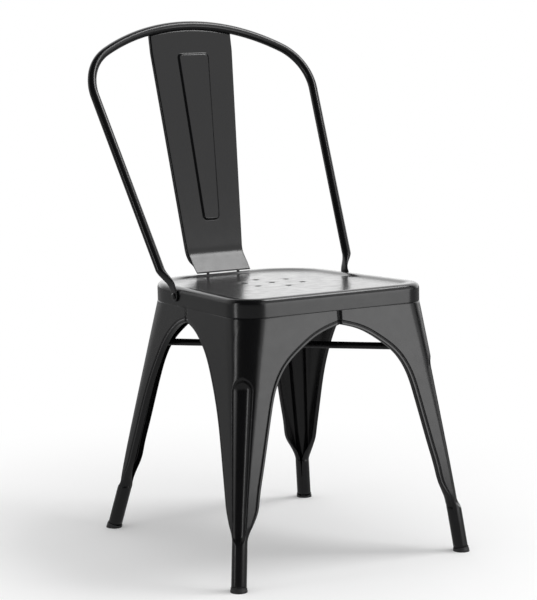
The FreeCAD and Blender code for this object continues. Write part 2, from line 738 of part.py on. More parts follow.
def hoop_end(outer):
    """The arm closes in and flattens to the plate that carries the eye."""
    spine = hoop_spine()
    top, low = spine["bend"]
    radius = size.hoop_diameter / 2 - SKIN
    half_flat = size.hoop_flat_thickness / 2 - SKIN
    half_width = size.hoop_flat_width / 2 - SKIN
    if not outer:
        radius -= size.hoop_wall
        half_flat = max(half_flat - size.hoop_wall, SKIN)
        half_width -= size.hoop_wall
    turn = hoop_placement().inverse().Rotation.multiply(seat_placement().Rotation)
    outward = turn.multVec(skirt_normal(1))
    sections = []
    for i in range(END_STEPS + 1):
        share = i / END_STEPS
        ease = share * share * (3 - 2 * share)
        centre = top + (low - top) * share
        centre.x = top.x + (low.x - top.x) * ease
        if i == 0:
            centre = centre - spine["down"] * SPARE / 4
        if share > HOLLOW_SHARE and not outer:
            break
        way = (spine["down"] * (1 - share) + Vector(0, 0, -1) * share).normalize()
        across = Vector(1, 0, 0) * (1 - ease) + outward * ease
        across = (across - way * across.dot(way)).normalize()
        side = way.cross(across).normalize()
        a = radius + (half_flat - radius) * ease
        b = radius + (half_width - radius) * ease
        sections.append(flattened(centre, across, side, a, b, 2 + 2 * ease))
    return Part.makeLoft(sections, True, False)


def eye_plate():
    """Flattened end below the bend, a rounded plate that lies on the skirt."""
    outward = skirt_normal(1)
    turn = hoop_placement().inverse().Rotation.multiply(seat_placement().Rotation)
    normal = turn.multVec(outward)
    along = Vector(0, 0, 1)
    along = (along - normal * along.dot(normal)).normalize()
    side = along.cross(normal)
    eye = hoop_eye() - normal * (size.hoop_flat_thickness / 2)
    half = size.hoop_flat_width / 2
    top = eye + along * (size.hoop_flat_length + size.hoop_flat_thickness / 2)
    edges = [Part.LineSegment(top - side * half, eye - side * half).toShape(),
             Part.Arc(eye - side * half, eye - along * half, eye + side * half).toShape(),
             Part.LineSegment(eye + side * half, top + side * half).toShape(),
             Part.LineSegment(top + side * half, top - side * half).toShape()]
    plate = Part.Face(Part.Wire(edges)).extrude(normal * size.hoop_flat_thickness)
    hole = Part.makeCylinder(size.bolt_diameter / 2 + size.fit_gap, FAR / 10,
                             eye - normal * FAR / 20, normal)
    return plate.cut(hole)


def make_back_hoop():
    radius = size.hoop_diameter / 2
    half = hoop_tube(radius).multiFuse([hoop_end(True), eye_plate()])
    half = half.cut([hoop_tube(radius - size.hoop_wall), hoop_end(False)])
    hoop = half.fuse(mirrored(half)).removeSplitter()
    hoop.Placement = hoop_placement()
    return hoop


# Splat frame: front face of the flat part in the XZ plane, origin under the hoop
def splat_reach():
    """Length of the flat part and the place of its top, from the foot tip."""
    lean = math.radians(size.splat_lean)
    turn = math.radians(size.splat_foot_turn)
    bend = size.splat_foot_bend
    foot = size.splat_foot_length
    top_z = size.hoop_height - size.hoop_diameter / 2
    tip = seat_placement().multVec(splat_tip())
    tip_z = tip.z + size.splat_foot_gap + size.sheet_thickness
    run = bend * (1 - math.cos(turn)) + foot * math.sin(turn)
    fall = bend * math.sin(turn) + foot * math.cos(turn)
    whole = (top_z + run * math.sin(lean) - tip_z) / math.cos(lean)
    top_y = tip.y + run * math.cos(lean) + whole * math.sin(lean)
    return whole - fall, top_y, top_z


def splat_placement():
    _, top_y, top_z = splat_reach()
    return Placement(Vector(0, top_y, top_z), Rotation(Vector(1, 0, 0), -size.splat_lean))


def splat_layer(front, back, foot_share=1.0):
    """Layer of the splat sheet between two depths behind its front face."""
    length, _, _ = splat_reach()
    turn = math.radians(size.splat_foot_turn)
    bend = size.splat_foot_bend
    foot = size.splat_foot_length * foot_share
    half = size.splat_top_width

    def around(depth, angle, further=0.0):
        reach = bend + depth
        y = -bend + reach * math.cos(angle) - further * math.sin(angle)
        z = -length - reach * math.sin(angle) - further * math.cos(angle)
        return Vector(-half, y, z)

    top = 2 * size.hoop_diameter
    corners = [Vector(-half, front, top), Vector(-half, back, top)]
    lines = [(corners[0], corners[1]), (corners[1], around(back, 0)),
             (around(back, turn), around(back, turn, foot)),
             (around(back, turn, foot), around(front, turn, foot)),
             (around(front, turn, foot), around(front, turn)),
             (around(front, 0), corners[0])]
    edges = [Part.LineSegment(*line).toShape() for line in lines]
    for depth in (front, back):
        arc = Part.Arc(around(depth, 0), around(depth, turn / 2), around(depth, turn))
        edges.append(arc.toShape())
    return Part.Face(Part.Wire(Part.__sortEdges__(edges))).extrude(Vector(2 * half, 0, 0))


def splat_outline(inset):
    """Tapered blank of the splat as a prism through its thickness."""
    length, _, _ = splat_reach()
    low = -length - size.splat_foot_bend - size.splat_foot_length
    top = 2 * size.hoop_diameter
    taper = (size.splat_top_width - size.splat_bottom_width) / 2 / -low
    half_top = size.splat_top_width / 2 + taper * (top + size.hoop_diameter) - inset
    half_low = size.splat_bottom_width / 2 - inset
    loop = [Vector(-half_top, -SPLAT_PRISM, top), Vector(half_top, -SPLAT_PRISM, top),
            Vector(half_low, -SPLAT_PRISM, low), Vector(-half_low, -SPLAT_PRISM, low)]
    face = Part.Face(Part.makePolygon(loop + loop[:1]))
    return face.extrude(Vector(0, 2 * SPLAT_PRISM, 0))


def panel_outline(inset, depth):
    """Rounded outline of the raised panel at a depth."""
    top = -size.splat_panel_top_gap - inset
    low = -size.splat_panel_top_gap - size.splat_panel_length + inset
    half_top = size.splat_panel_top_width / 2 - inset
    half_low = size.splat_panel_bottom_width / 2 - inset
    corners = [Vector(-half_low, depth, low), Vector(half_low, depth, low),
               Vector(half_top, depth, top), Vector(-half_top, depth, top)]
    arcs = []
    for i in range(4):
        arcs.append(rounded_corner(corners[i - 1], corners[i], corners[(i + 1) % 4],
                                   size.splat_panel_corner - inset))
    edges = []
    for i in range(4):
        start, middle, end, _ = arcs[i]
        edges.append(Part.Arc(start, middle, end).toShape())
        edges.append(Part.LineSegment(end, arcs[(i + 1) % 4][0]).toShape())
    return Part.Wire(edges)


def make_back_splat():
    t = size.sheet_thickness
    rise = size.splat_panel_raise
    blank = splat_outline(0)
    sheet_part = splat_layer(0, t).common(blank)
    edge_part = splat_layer(0, size.splat_edge_return, FOOT_EDGE_SHARE).common(blank)
    edge_part = edge_part.cut(splat_outline(t))
    raised = Part.makeLoft([panel_outline(0, 0), panel_outline(rise, -rise)], True, True)
    hollow = raised.copy()
    hollow.translate(Vector(0, t, 0))
    under = Part.Face(panel_outline(0, t / 2)).extrude(Vector(0, t, 0))
    splat = sheet_part.multiFuse([edge_part, raised]).cut([hollow, under])
    over = hoop_tube(size.hoop_diameter / 2 + size.lap_gap)
    over = over.fuse(mirrored(over))
    over.Placement = splat_placement().inverse().multiply(hoop_placement())
    splat = max(splat.cut(over).Solids, key=lambda solid: solid.Volume)
    above = splat_layer(-0.9 * size.splat_foot_bend, 0)
    studs = []
    for spot in stud_spots():
        top = size.splat_foot_gap + t + size.stud_diameter
        root = seat_point(spot.x, spot.y, top)
        way = seat_placement().Rotation.multVec(Vector(0, 0, -1))
        stud = Part.makeCylinder(size.stud_diameter / 2, top + size.stud_length, root, way)
        stud.Placement = splat_placement().inverse().multiply(stud.Placement)
        studs.append(max(stud.cut(above).Solids, key=lambda solid: solid.Volume))
    splat = splat.multiFuse(studs).removeSplitter()
    splat.Placement = splat_placement()
    return splat


def brace_room(gap, spare):
    """Space inside a front leg and the rear leg across from it, with a gap all round."""
    front = front_leg.hull(gap, spare).cut(flute_cutter(front_leg, gap))
    rear = rear_leg.hull(gap, spare).cut(flute_cutter(rear_leg, gap))
    return front, mirrored(rear)


def make_brace(drop):
    """Diagonal bar from the front left leg to the rear right one, under the seat."""
    height = size.brace_height - drop
    radius = size.brace_diameter / 2
    seat = seat_placement()
    level = seat.inverse().multVec(Vector(0, 0, height)).z
    ends = []
    for leg, side in ((front_leg, 1), (rear_leg, -1)):
        corner, _ = leg.ridge(height)
        ends.append(Vector(side * corner.x, corner.y, level))
    front, rear = ends
    way = (front - rear).normalize()
    spare = size.seat_front_width / 4
    length = (front - rear).Length
    rod = Part.makeCylinder(radius, length, rear, way)
    bore = Part.makeCylinder(radius - size.brace_wall, length, rear, way)
    tab = Part.makeBox(length, size.brace_tab_thickness, size.brace_tab_height)
    tab.translate(Vector(0, -size.brace_tab_thickness / 2, radius - size.brace_tab_height))
    tab.rotate(Vector(0, 0, 0), UP, math.degrees(math.atan2(way.y, way.x)))
    tab.translate(rear)
    for piece in (rod, bore, tab):
        piece.Placement = seat.multiply(piece.Placement)
    gap = size.sheet_thickness + size.lap_gap
    bar = rod.cut(bore)
    pieces = []
    inner = brace_room(gap + size.brace_tab_length, spare)
    for room, inside in zip(brace_room(gap, spare), inner):
        pieces.append(bar.common(room))
        pieces.append(tab.common(room).cut(inside))
    return joined(pieces).removeSplitter()


# Turned and cut pieces: sketches whose dimensions follow the sheet
def origin_plane(body, role):
    planes = [item for item in body.Origin.OriginFeatures if item.Role == role]
    return planes[0]


def new_body(label, role):
    body = doc.addObject("PartDesign::Body", label)
    sketch = body.newObject("Sketcher::SketchObject", label + "_sketch")
    sketch.AttachmentSupport = [(origin_plane(body, role), "")]
    sketch.MapMode = "FlatFace"
    return body, sketch


def bind(sketch, name, kind, places, value):
    """Adds a named dimension and ties it to the sheet."""
    sketch.addConstraint(Sketcher.Constraint(kind, *places, sheet_value(value)))
    sketch.renameConstraint(sketch.ConstraintCount - 1, name)
    sketch.setExpression("Constraints." + name, value)


def sheet_value(formula):
    return float(sheet.evalExpression(formula))


def turned_body(label, profile):
    """Body turned about Z; the profile lists radius and height formulas."""
    body, sketch = new_body(label, "XZ_Plane")
    points = [Vector(sheet_value(r), sheet_value(z), 0) for r, z in profile]
    count = len(points)
    for i in range(count):
        sketch.addGeometry(Part.LineSegment(points[i], points[(i + 1) % count]), False)
    for i in range(count):
        sketch.addConstraint(Sketcher.Constraint("Coincident", i, 2, (i + 1) % count, 1))
    for i, (r, z) in enumerate(profile):
        for name, kind, value in (("across", "DistanceX", r), ("up", "DistanceY", z)):
            if sheet_value(value) == 0:
                sketch.addConstraint(Sketcher.Constraint("PointOnObject", i, 1,
                                                         -2 if kind == "DistanceX" else -1))
            else:
                bind(sketch, "%s%d" % (name, i), kind, (-1, 1, i, 1), value)
    turn = body.newObject("PartDesign::Revolution", label + "_turn")
    turn.Profile = sketch
    turn.ReferenceAxis = (sketch, ["V_Axis"])
    turn.Angle = 360
    sketch.Visibility = False
    return body


def ring_body(label, outer, inner, height):
    """Flat washer."""
    body, sketch = new_body(label, "XY_Plane")
    for i, (name, value) in enumerate((("outer", outer), ("inner", inner))):
        circle = Part.Circle(Vector(0, 0, 0), Vector(0, 0, 1), sheet_value(value) / 2)
        sketch.addGeometry(circle, False)
        sketch.addConstraint(Sketcher.Constraint("Coincident", i, 3, -1, 1))
        bind(sketch, name, "Diameter", (i,), value)
    pad = body.newObject("PartDesign::Pad", label + "_pad")
    pad.Profile = sketch
    pad.setExpression("Length", height)
    return body


def nut_body(label, across_flats, hole, height):
    """Hexagon nut."""
    body, sketch = new_body(label, "XY_Plane")
    reach = sheet_value(across_flats) / math.sqrt(3)
    corners = [Vector(reach * math.cos(math.radians(60 * i)),
                      reach * math.sin(math.radians(60 * i)), 0) for i in range(6)]
    for i in range(6):
        sketch.addGeometry(Part.LineSegment(corners[i], corners[(i + 1) % 6]), False)
    for i in range(6):
        sketch.addConstraint(Sketcher.Constraint("Coincident", i, 2, (i + 1) % 6, 1))
    sketch.addGeometry(Part.Circle(Vector(0, 0, 0), Vector(0, 0, 1), reach), True)
    sketch.addConstraint(Sketcher.Constraint("Coincident", 6, 3, -1, 1))
    for i in range(6):
        sketch.addConstraint(Sketcher.Constraint("PointOnObject", i, 1, 6))
    for i in range(5):
        sketch.addConstraint(Sketcher.Constraint("Equal", i, i + 1))
    sketch.addConstraint(Sketcher.Constraint("PointOnObject", 0, 1, -1))
    bind(sketch, "corners", "Diameter", (6,), "%s / cos(30)" % across_flats)
    circle = Part.Circle(Vector(0, 0, 0), Vector(0, 0, 1), sheet_value(hole) / 2)
    sketch.addGeometry(circle, False)
    sketch.addConstraint(Sketcher.Constraint("Coincident", 7, 3, -1, 1))
    bind(sketch, "bore", "Diameter", (7,), hole)
    pad = body.newObject("PartDesign::Pad", label + "_pad")
    pad.Profile = sketch
    pad.setExpression("Length", height)
    return body


def shape_feature(label, shape):
    """A pressed, bent or welded piece, worked out above from the sheet."""
    feature = doc.addObject("Part::Feature", label)
    place = shape.Placement
    feature.Shape = shape
    feature.Placement = place
    return feature


def mirror_feature(label, source):
    feature = doc.addObject("Part::Mirroring", label)
    feature.Source = source
    feature.Normal = Vector(1, 0, 0)
    return feature


def group_feature(label, members):
    feature = doc.addObject("Part::Compound", label)
    feature.Links = members
    return feature


def make_seat():
    return [shape_feature("seat_pan", make_seat_pan())]


def make_legs():
    pieces = []
    for name, leg in (("front", front_leg), ("rear", rear_leg)):
        left = shape_feature("leg_%s_left" % name, leg_solid(leg))
        pieces += [left, mirror_feature("leg_%s_right" % name, left)]
    return pieces


# Glide: two steps round the end of the foot tube and a plug in its bore
GLIDE_PROFILE = [
    ("0", "-Sizes.glide_height"),
    ("Sizes.glide_diameter / 2", "-Sizes.glide_height"),
    ("Sizes.glide_diameter / 2", "Sizes.glide_lip_height - Sizes.glide_step"),
    ("Sizes.glide_diameter / 2 - Sizes.glide_step", "Sizes.glide_lip_height"),
    ("Sizes.glide_diameter / 2 - Sizes.glide_step", "Sizes.glide_height"),
    ("Sizes.foot_tube_diameter / 2 + Sizes.fit_gap", "Sizes.glide_height"),
    ("Sizes.foot_tube_diameter / 2 + Sizes.fit_gap", "Sizes.glide_lip_height - Sizes.fit_gap"),
    ("Sizes.foot_tube_diameter / 2 - Sizes.sheet_thickness - Sizes.fit_gap",
     "Sizes.glide_lip_height - Sizes.fit_gap"),
    ("Sizes.foot_tube_diameter / 2 - Sizes.sheet_thickness - Sizes.fit_gap",
     "Sizes.glide_plug_height"),
    ("0", "Sizes.glide_plug_height"),
]


def make_glides():
    pieces = []
    for name, leg in (("front", front_leg), ("rear", rear_leg)):
        form = turned_body("glide_form_" + name, GLIDE_PROFILE)
        form.Placement = Placement(leg.foot, Rotation(UP, leg.slope))
        floor = doc.addObject("Part::Box", "floor_" + name)
        for side in ("Length", "Width", "Height"):
            floor.setExpression(side, "4 * Sizes.glide_diameter")
        span = 4 * size.glide_diameter
        floor.Placement.Base = leg.foot - Vector(span / 2, span / 2, span)
        left = doc.addObject("Part::Cut", "foot_glide_%s_left" % name)
        left.Base = form
        left.Tool = floor
        pieces += [left, mirror_feature("foot_glide_%s_right" % name, left)]
    return pieces


def make_back():
    return [shape_feature("back_hoop", make_back_hoop()),
            shape_feature("back_splat", make_back_splat())]


def make_braces():
    drop = size.brace_diameter + size.lap_gap
    upper = shape_feature("brace_bar_upper", make_brace(0))
    lower = shape_feature("brace_bar_lower", mirrored(make_brace(drop)))
    return [upper, lower]


def bolt_placement(reach):
    """On the axis of the left hoop bolt, some way out from the skirt face."""
    spot = eye_spot()
    outward = skirt_normal(1)
    base = Vector(spot.x, spot.y, spot.z) + outward * reach
    return seat_placement().multiply(Placement(base, Rotation(UP, outward)))


# Domed head in five steps of the sphere, then the shank
BOLT_PROFILE = [
    ("0", "-Sizes.bolt_length"),
    ("Sizes.bolt_diameter / 2", "-Sizes.bolt_length"),
    ("Sizes.bolt_diameter / 2", "0"),
    ("Sizes.bolt_head_diameter / 2", "0"),
    ("Sizes.bolt_head_diameter / 2", "Sizes.bolt_head_height * 0.25"),
    ("Sizes.bolt_head_diameter * 0.46", "Sizes.bolt_head_height * 0.55"),
    ("Sizes.bolt_head_diameter * 0.37", "Sizes.bolt_head_height * 0.80"),
    ("Sizes.bolt_head_diameter * 0.23", "Sizes.bolt_head_height * 0.95"),
    ("0", "Sizes.bolt_head_height"),
]


def make_hoop_fasteners():
    t = size.sheet_thickness
    plate = size.lap_gap + size.hoop_flat_thickness
    bolt = turned_body("hoop_bolt_left", BOLT_PROFILE)
    washer = ring_body("hoop_washer_left", "Sizes.washer_diameter",
                       "Sizes.bolt_diameter + 2 * Sizes.fit_gap", "Sizes.washer_thickness")
    nut = nut_body("hoop_nut_left", "Sizes.nut_across_flats",
                   "Sizes.bolt_diameter + Sizes.fit_gap", "Sizes.nut_height")
    bolt.Placement = bolt_placement(plate)
    washer.Placement = bolt_placement(-t - size.washer_thickness)
    nut.Placement = bolt_placement(-t - size.washer_thickness - size.nut_height)
    groups = []
    for label, left in (("hoop_bolts", bolt), ("hoop_bolt_washers", washer),
                        ("hoop_bolt_nuts", nut)):
        right = mirror_feature(left.Label.replace("left", "right"), left)
        groups.append(group_feature(label, [left, right]))
    return groups


def make_stud_fasteners():
    t = size.sheet_thickness
    washer = ring_body("stud_washer_left", "Sizes.stud_washer_diameter",
                       "Sizes.stud_diameter + 2 * Sizes.fit_gap", "Sizes.stud_washer_thickness")
    nut = nut_body("stud_nut_left", "Sizes.stud_nut_across_flats",
                   "Sizes.stud_diameter + Sizes.fit_gap", "Sizes.stud_nut_height")
    _, spot = stud_spots()
    low = -t - size.lap_gap - size.stud_washer_thickness
    washer.Placement = seat_placement().multiply(Placement(spot + UP * low, Rotation()))
    low = low - size.stud_nut_height
    nut.Placement = seat_placement().multiply(Placement(spot + UP * low, Rotation()))
    groups = []
    for label, left in (("splat_foot_washers", washer), ("splat_foot_nuts", nut)):
        right = mirror_feature(left.Label.replace("left", "right"), left)
        groups.append(group_feature(label, [left, right]))
    return groups


def make_weld_beads():
    """Beads on the inside of the four butt lines, just under the seam."""
    radius = size.weld_bead_diameter / 2
    length = size.weld_bead_length
    t = size.sheet_thickness
    drop = size.seat_skirt_height + size.seam_gap + 2 * t
    depth = size.seat_depth / 2
    middle = size.side_butt_offset
    spots = [(Vector(0, -depth, 0), Vector(0, 1, 0)), (Vector(0, depth, 0), Vector(0, -1, 0))]
    for side in (-1, 1):
        edge = Vector(side * seat_half_width(middle), middle, 0)
        spots.append((edge, skirt_normal(side) * -1))
    beads = []
    for spot, inward in spots:
        base = spot + inward * (t + radius) - UP * drop
        bead = Part.makeCylinder(radius, length, base, UP * -1)
        caps = [Part.makeSphere(radius, base), Part.makeSphere(radius, base - UP * length)]
        beads.append(bead.multiFuse(caps).Solids[0])
    group = Part.makeCompound(beads)
    group.Placement = seat_placement()
    return [shape_feature("arch_weld_beads", group)]


def move_to_origin(pieces, glides):
    """Puts the middle of the whole chair's floor rectangle on the origin."""
    hoop_rear = size.hoop_reach + size.hoop_diameter / 2
    boxes = [glide.Shape.optimalBoundingBox(False, False) for glide in glides]
    front = min(box.YMin for box in boxes)
    rear = max([hoop_rear] + [box.YMax for box in boxes])
    shift = Placement(Vector(0, -(front + rear) / 2, 0), Rotation())
    for piece in pieces:
        if piece.TypeId != "Part::Mirroring":
            piece.Placement = shift.multiply(piece.Placement)
    print("floor rectangle middle behind the seat middle", round((front + rear) / 2, 3))


def check(pieces):
    for item in doc.Objects:
        if "Invalid" in item.State or "Error" in item.State:
            raise RuntimeError("failed: " + item.Label)
    for piece in pieces:
        if piece.Shape.isNull() or not piece.Shape.isValid():
            raise RuntimeError("bad shape: " + piece.Label)


foot_glides = make_glides()
nodes = make_seat() + make_legs() + foot_glides + make_back() + make_braces()
nodes += make_hoop_fasteners() + make_stud_fasteners() + make_weld_beads()
doc.recompute()
move_to_origin(nodes, foot_glides)
doc.recompute()
check(nodes)

os.makedirs(PARTS_FOLDER, exist_ok=True)
for node in nodes:
    node.Shape.exportStep(os.path.join(PARTS_FOLDER, node.Label + ".step"))
    print(node.Label, len(node.Shape.Solids), round(node.Shape.Volume))
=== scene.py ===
import bmesh
import bpy
import math
import numpy as np
from mathutils import Matrix, Vector, geometry


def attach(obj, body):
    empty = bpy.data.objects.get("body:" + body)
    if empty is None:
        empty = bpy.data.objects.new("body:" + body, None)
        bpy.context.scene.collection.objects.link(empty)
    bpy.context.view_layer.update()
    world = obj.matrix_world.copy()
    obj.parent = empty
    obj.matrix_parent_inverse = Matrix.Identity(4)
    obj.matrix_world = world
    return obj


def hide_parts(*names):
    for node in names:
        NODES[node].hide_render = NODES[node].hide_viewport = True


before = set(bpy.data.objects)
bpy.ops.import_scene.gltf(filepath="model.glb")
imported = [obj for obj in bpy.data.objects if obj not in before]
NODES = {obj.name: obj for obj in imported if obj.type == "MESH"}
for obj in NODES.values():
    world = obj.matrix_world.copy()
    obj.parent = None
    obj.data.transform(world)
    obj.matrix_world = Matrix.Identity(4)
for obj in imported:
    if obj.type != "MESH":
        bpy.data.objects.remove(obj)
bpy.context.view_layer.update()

# Metal bistro chair of pressed steel with a black powder coat

# Camera, solved from the photograph's own lines
CAMERA_PLACE = (-1.84711, -2.89360, 0.94632)
CAMERA_YAW = 0.568
CAMERA_PITCH = -0.158
CAMERA_LENS = 126.40
SENSOR = 36.0
CAMERA_REACH = 50.0


def add_camera():
    data = bpy.data.cameras.new("camera")
    data.lens = CAMERA_LENS
    data.sensor_width = SENSOR
    data.clip_end = CAMERA_REACH
    camera = bpy.data.objects.new("camera", data)
    camera.location = CAMERA_PLACE
    camera.rotation_euler = (math.pi / 2 + CAMERA_PITCH, 0.0, -CAMERA_YAW)
    bpy.context.scene.collection.objects.link(camera)
    bpy.context.scene.camera = camera


# Node helpers
NOISE_RANGE = (0.3, 0.7)


def new_material(name):
    material = bpy.data.materials.new(name)
    material.use_nodes = True
    tree = material.node_tree
    return material, tree, tree.nodes["Principled BSDF"]


def add_node(tree, kind, **values):
    node = tree.nodes.new(kind)
    for key, value in values.items():
        if key in node.inputs:
            node.inputs[key].default_value = value
        else:
            setattr(node, key, value)
    return node


def noise(tree, waves, detail):
    """Noise in the object's own metres, with so many waves per metre."""
    place = add_node(tree, "ShaderNodeTexCoord")
    texture = add_node(tree, "ShaderNodeTexNoise", Scale=waves, Detail=detail)
    tree.links.new(place.outputs["Object"], texture.inputs["Vector"])
    return texture.outputs["Fac"]


def spread(tree, source, low, high):
    """Maps the middle of a noise to a range."""
    node = add_node(tree, "ShaderNodeMapRange")
    node.inputs["From Min"].default_value = NOISE_RANGE[0]
    node.inputs["From Max"].default_value = NOISE_RANGE[1]
    node.inputs["To Min"].default_value = low
    node.inputs["To Max"].default_value = high
    tree.links.new(source, node.inputs["Value"])
    return node.outputs["Result"]


def mixed_colour(tree, factor, first, second):
    node = add_node(tree, "ShaderNodeMix", data_type="RGBA")
    node.inputs["A"].default_value = (*first, 1.0)
    node.inputs["B"].default_value = (*second, 1.0)
    tree.links.new(factor, node.inputs["Factor"])
    return node.outputs["Result"]


def vary(tree, shader, colours, cloud, roughness, wear):
    """Lets colour and roughness vary, each with its own noise."""
    colour = mixed_colour(tree, noise(tree, *cloud), *colours)
    tree.links.new(colour, shader.inputs["Base Color"])
    rough = spread(tree, noise(tree, *wear), *roughness)
    tree.links.new(rough, shader.inputs["Roughness"])


def bump(tree, shader, layers):
    """Stacks bumps, each with waves per metre, detail, strength and depth in metres."""
    normal = None
    for waves, detail, strength, depth in layers:
        node = add_node(tree, "ShaderNodeBump", Strength=strength, Distance=depth)
        tree.links.new(noise(tree, waves, detail), node.inputs["Height"])
        if normal is not None:
            tree.links.new(normal, node.inputs["Normal"])
        normal = node.outputs["Normal"]
    tree.links.new(normal, shader.inputs["Normal"])


# Materials: two colours, roughness from and to, and noises as waves per metre and detail
COAT_COLOURS = ((0.0030, 0.0030, 0.0034), (0.0050, 0.0050, 0.0056))
COAT_CLOUD = (14.0, 3.0)
COAT_ROUGHNESS = (0.20, 0.25)
COAT_WEAR = (55.0, 4.0)
COAT_BUMPS = [(620.0, 2.0, 0.008, 0.0002), (2600.0, 1.0, 0.004, 0.00005)]
RUBBER_COLOURS = ((0.010, 0.010, 0.011), (0.022, 0.022, 0.023))
RUBBER_CLOUD = (90.0, 4.0)
RUBBER_ROUGHNESS = (0.45, 0.62)
RUBBER_WEAR = (300.0, 2.0)
RUBBER_BUMPS = [(1800.0, 2.0, 0.25, 0.0002)]
ZINC_COLOURS = ((0.48, 0.49, 0.50), (0.66, 0.66, 0.64))
ZINC_CLOUD = (260.0, 4.0)
ZINC_ROUGHNESS = (0.25, 0.45)
ZINC_WEAR = (900.0, 2.0)
ZINC_BUMPS = [(3200.0, 2.0, 0.15, 0.0001)]


def powder_coat(name):
    """Semi-gloss black powder coat with its fine orange peel."""
    material, tree, shader = new_material(name)
    vary(tree, shader, COAT_COLOURS, COAT_CLOUD, COAT_ROUGHNESS, COAT_WEAR)
    bump(tree, shader, COAT_BUMPS)
    return material


def rubber(name):
    """Dark, dull rubber of the glides."""
    material, tree, shader = new_material(name)
    vary(tree, shader, RUBBER_COLOURS, RUBBER_CLOUD, RUBBER_ROUGHNESS, RUBBER_WEAR)
    bump(tree, shader, RUBBER_BUMPS)
    return material


def zinc(name):
    """Zinc plate of the washers and nuts."""
    material, tree, shader = new_material(name)
    shader.inputs["Metallic"].default_value = 1.0
    vary(tree, shader, ZINC_COLOURS, ZINC_CLOUD, ZINC_ROUGHNESS, ZINC_WEAR)
    bump(tree, shader, ZINC_BUMPS)
    return material


PAINT = powder_coat("powder_coat")
RUBBER = rubber("glide_rubber")
ZINC = zinc("zinc_plate")
NODE_MATERIALS = {
    "foot_glide": RUBBER,
    "hoop_bolt_washers": ZINC,
    "hoop_bolt_nuts": ZINC,
    "splat_foot_washers": ZINC,
    "splat_foot_nuts": ZINC,
}


def dress_nodes():
    for name, node in NODES.items():
        material = PAINT
        for start, chosen in NODE_MATERIALS.items():
            if name.startswith(start):
                material = chosen
        node.data.materials.clear()
        node.data.materials.append(material)


# Shapes are worked out in millimetres from the middle of the seat, which lies
# this far, in metres, from the origin of the frame
MM = 0.001
SEAT_MIDDLE = (0.0, -0.024053, 0.0)

SHEET = 1.2
LAP_GAP = 0.3

# Points nearer to each other than this are joined
WELD_REACH = 0.02

# Seat
SEAT_HEIGHT = 433.9
SEAT_TILT = math.radians(2.06)
SEAT_FRONT_WIDTH = 364.0
SEAT_REAR_WIDTH = 315.0
SEAT_DEPTH = 361.0
SEAT_FRONT_CORNER = 46.0
SEAT_REAR_CORNER = 100.0
SKIRT_HEIGHT = 29.5
RIM_ROLL = 9.0
DISH_SLOPE = 15.0
DISH_DEPTH = 3.5
DISH_START = 15.0
DISH_RINGS = (33.0, 36.0)
DISH_WAVE = 0.10
DISH_WAVE_LENGTHS = (41.0, 53.0)
DISH_WAVE_SHIFT = 0.6
DRAIN_RADIUS = 4.5
DRAIN_RING = 50.0
DRAIN_BACK = 14.0
DRAIN_COUNT = 6
DRAIN_ROLL = 1.4
DRAIN_ROLL_MIDDLE = 0.6
DRAIN_ROLL_DEPTH = 0.45
SEAM_GAP = 0.6
SKIRT_RISES = (0.0, 0.5, 6.0, 12.0, 17.0)
RIM_INSETS = (12.0, 14.0)

# Back hoop
HOOP_RADIUS = 7.5
HOOP_TOP = 842.5
HOOP_REACH = 280.0
HOOP_LEAN = math.radians(29.4)
CROWN_RADIUS = 351.5
SHOULDER_RADIUS = 84.0
SHOULDER_WIDTH = 458.4
ARM_TAPER = 0.1054
EYE_HEIGHT = 418.0
PLATE_THICKNESS = 3.2
PLATE_WIDTH = 18.0
PLATE_LENGTH = 16.0
PLATE_SQUARENESS = 0.45
PLATE_ROWS = (0.35, 0.7, 1.0)
PLATE_TIP = 0.6
PLATE_TIP_SHARE = 0.55
BEND_LENGTH = 34.0
FLATTENING = 1.05

# Splat
SPLAT_LEAN = math.radians(12.15)
SPLAT_TOP_WIDTH = 165.0
SPLAT_FOOT_WIDTH = 103.0
FOOT_REACH = 166.0
FOOT_BEND = 30.0
FOOT_TURN = math.radians(31.0)
FOOT_LENGTH = 34.0
FOOT_GAP = 1.0
EDGE_RETURN = 6.5
EDGE_BEND = 2.4
PANEL_TOP_HALF = 32.0
PANEL_FOOT_HALF = 17.0
PANEL_TOP = -47.0
PANEL_LENGTH = 290.0
PANEL_RAISE = 2.4
PANEL_CORNER = 9.0
PANEL_SLOPE = 4.5
PANEL_ZONE = 2.0
HOOP_CLEARANCE = 0.15
HOOP_DEPTH_SHARE = 0.9
FOOT_EDGE_BEND = 0.7
FOOT_EDGE_SPARE = 0.1
FOOT_EDGE_SPEED = 1.6
STUD_RADIUS = 2.5
STUD_LENGTH = 12.0
STUD_HALF_SPACING = 30.0
STUD_TOP = 3.6
STUD_CHAMFER = 0.7
STUD_STEPS = 24


def leaning(origin, angle):
    """Frame at a point, turned about X so that its Z axis leans back."""
    return Matrix.Translation(origin) @ Matrix.Rotation(-angle, 4, "X")


SEAT_FRAME = leaning((0.0, 0.0, SEAT_HEIGHT), SEAT_TILT)
HOOP_FRAME = leaning((0.0, HOOP_REACH, HOOP_TOP), HOOP_LEAN)


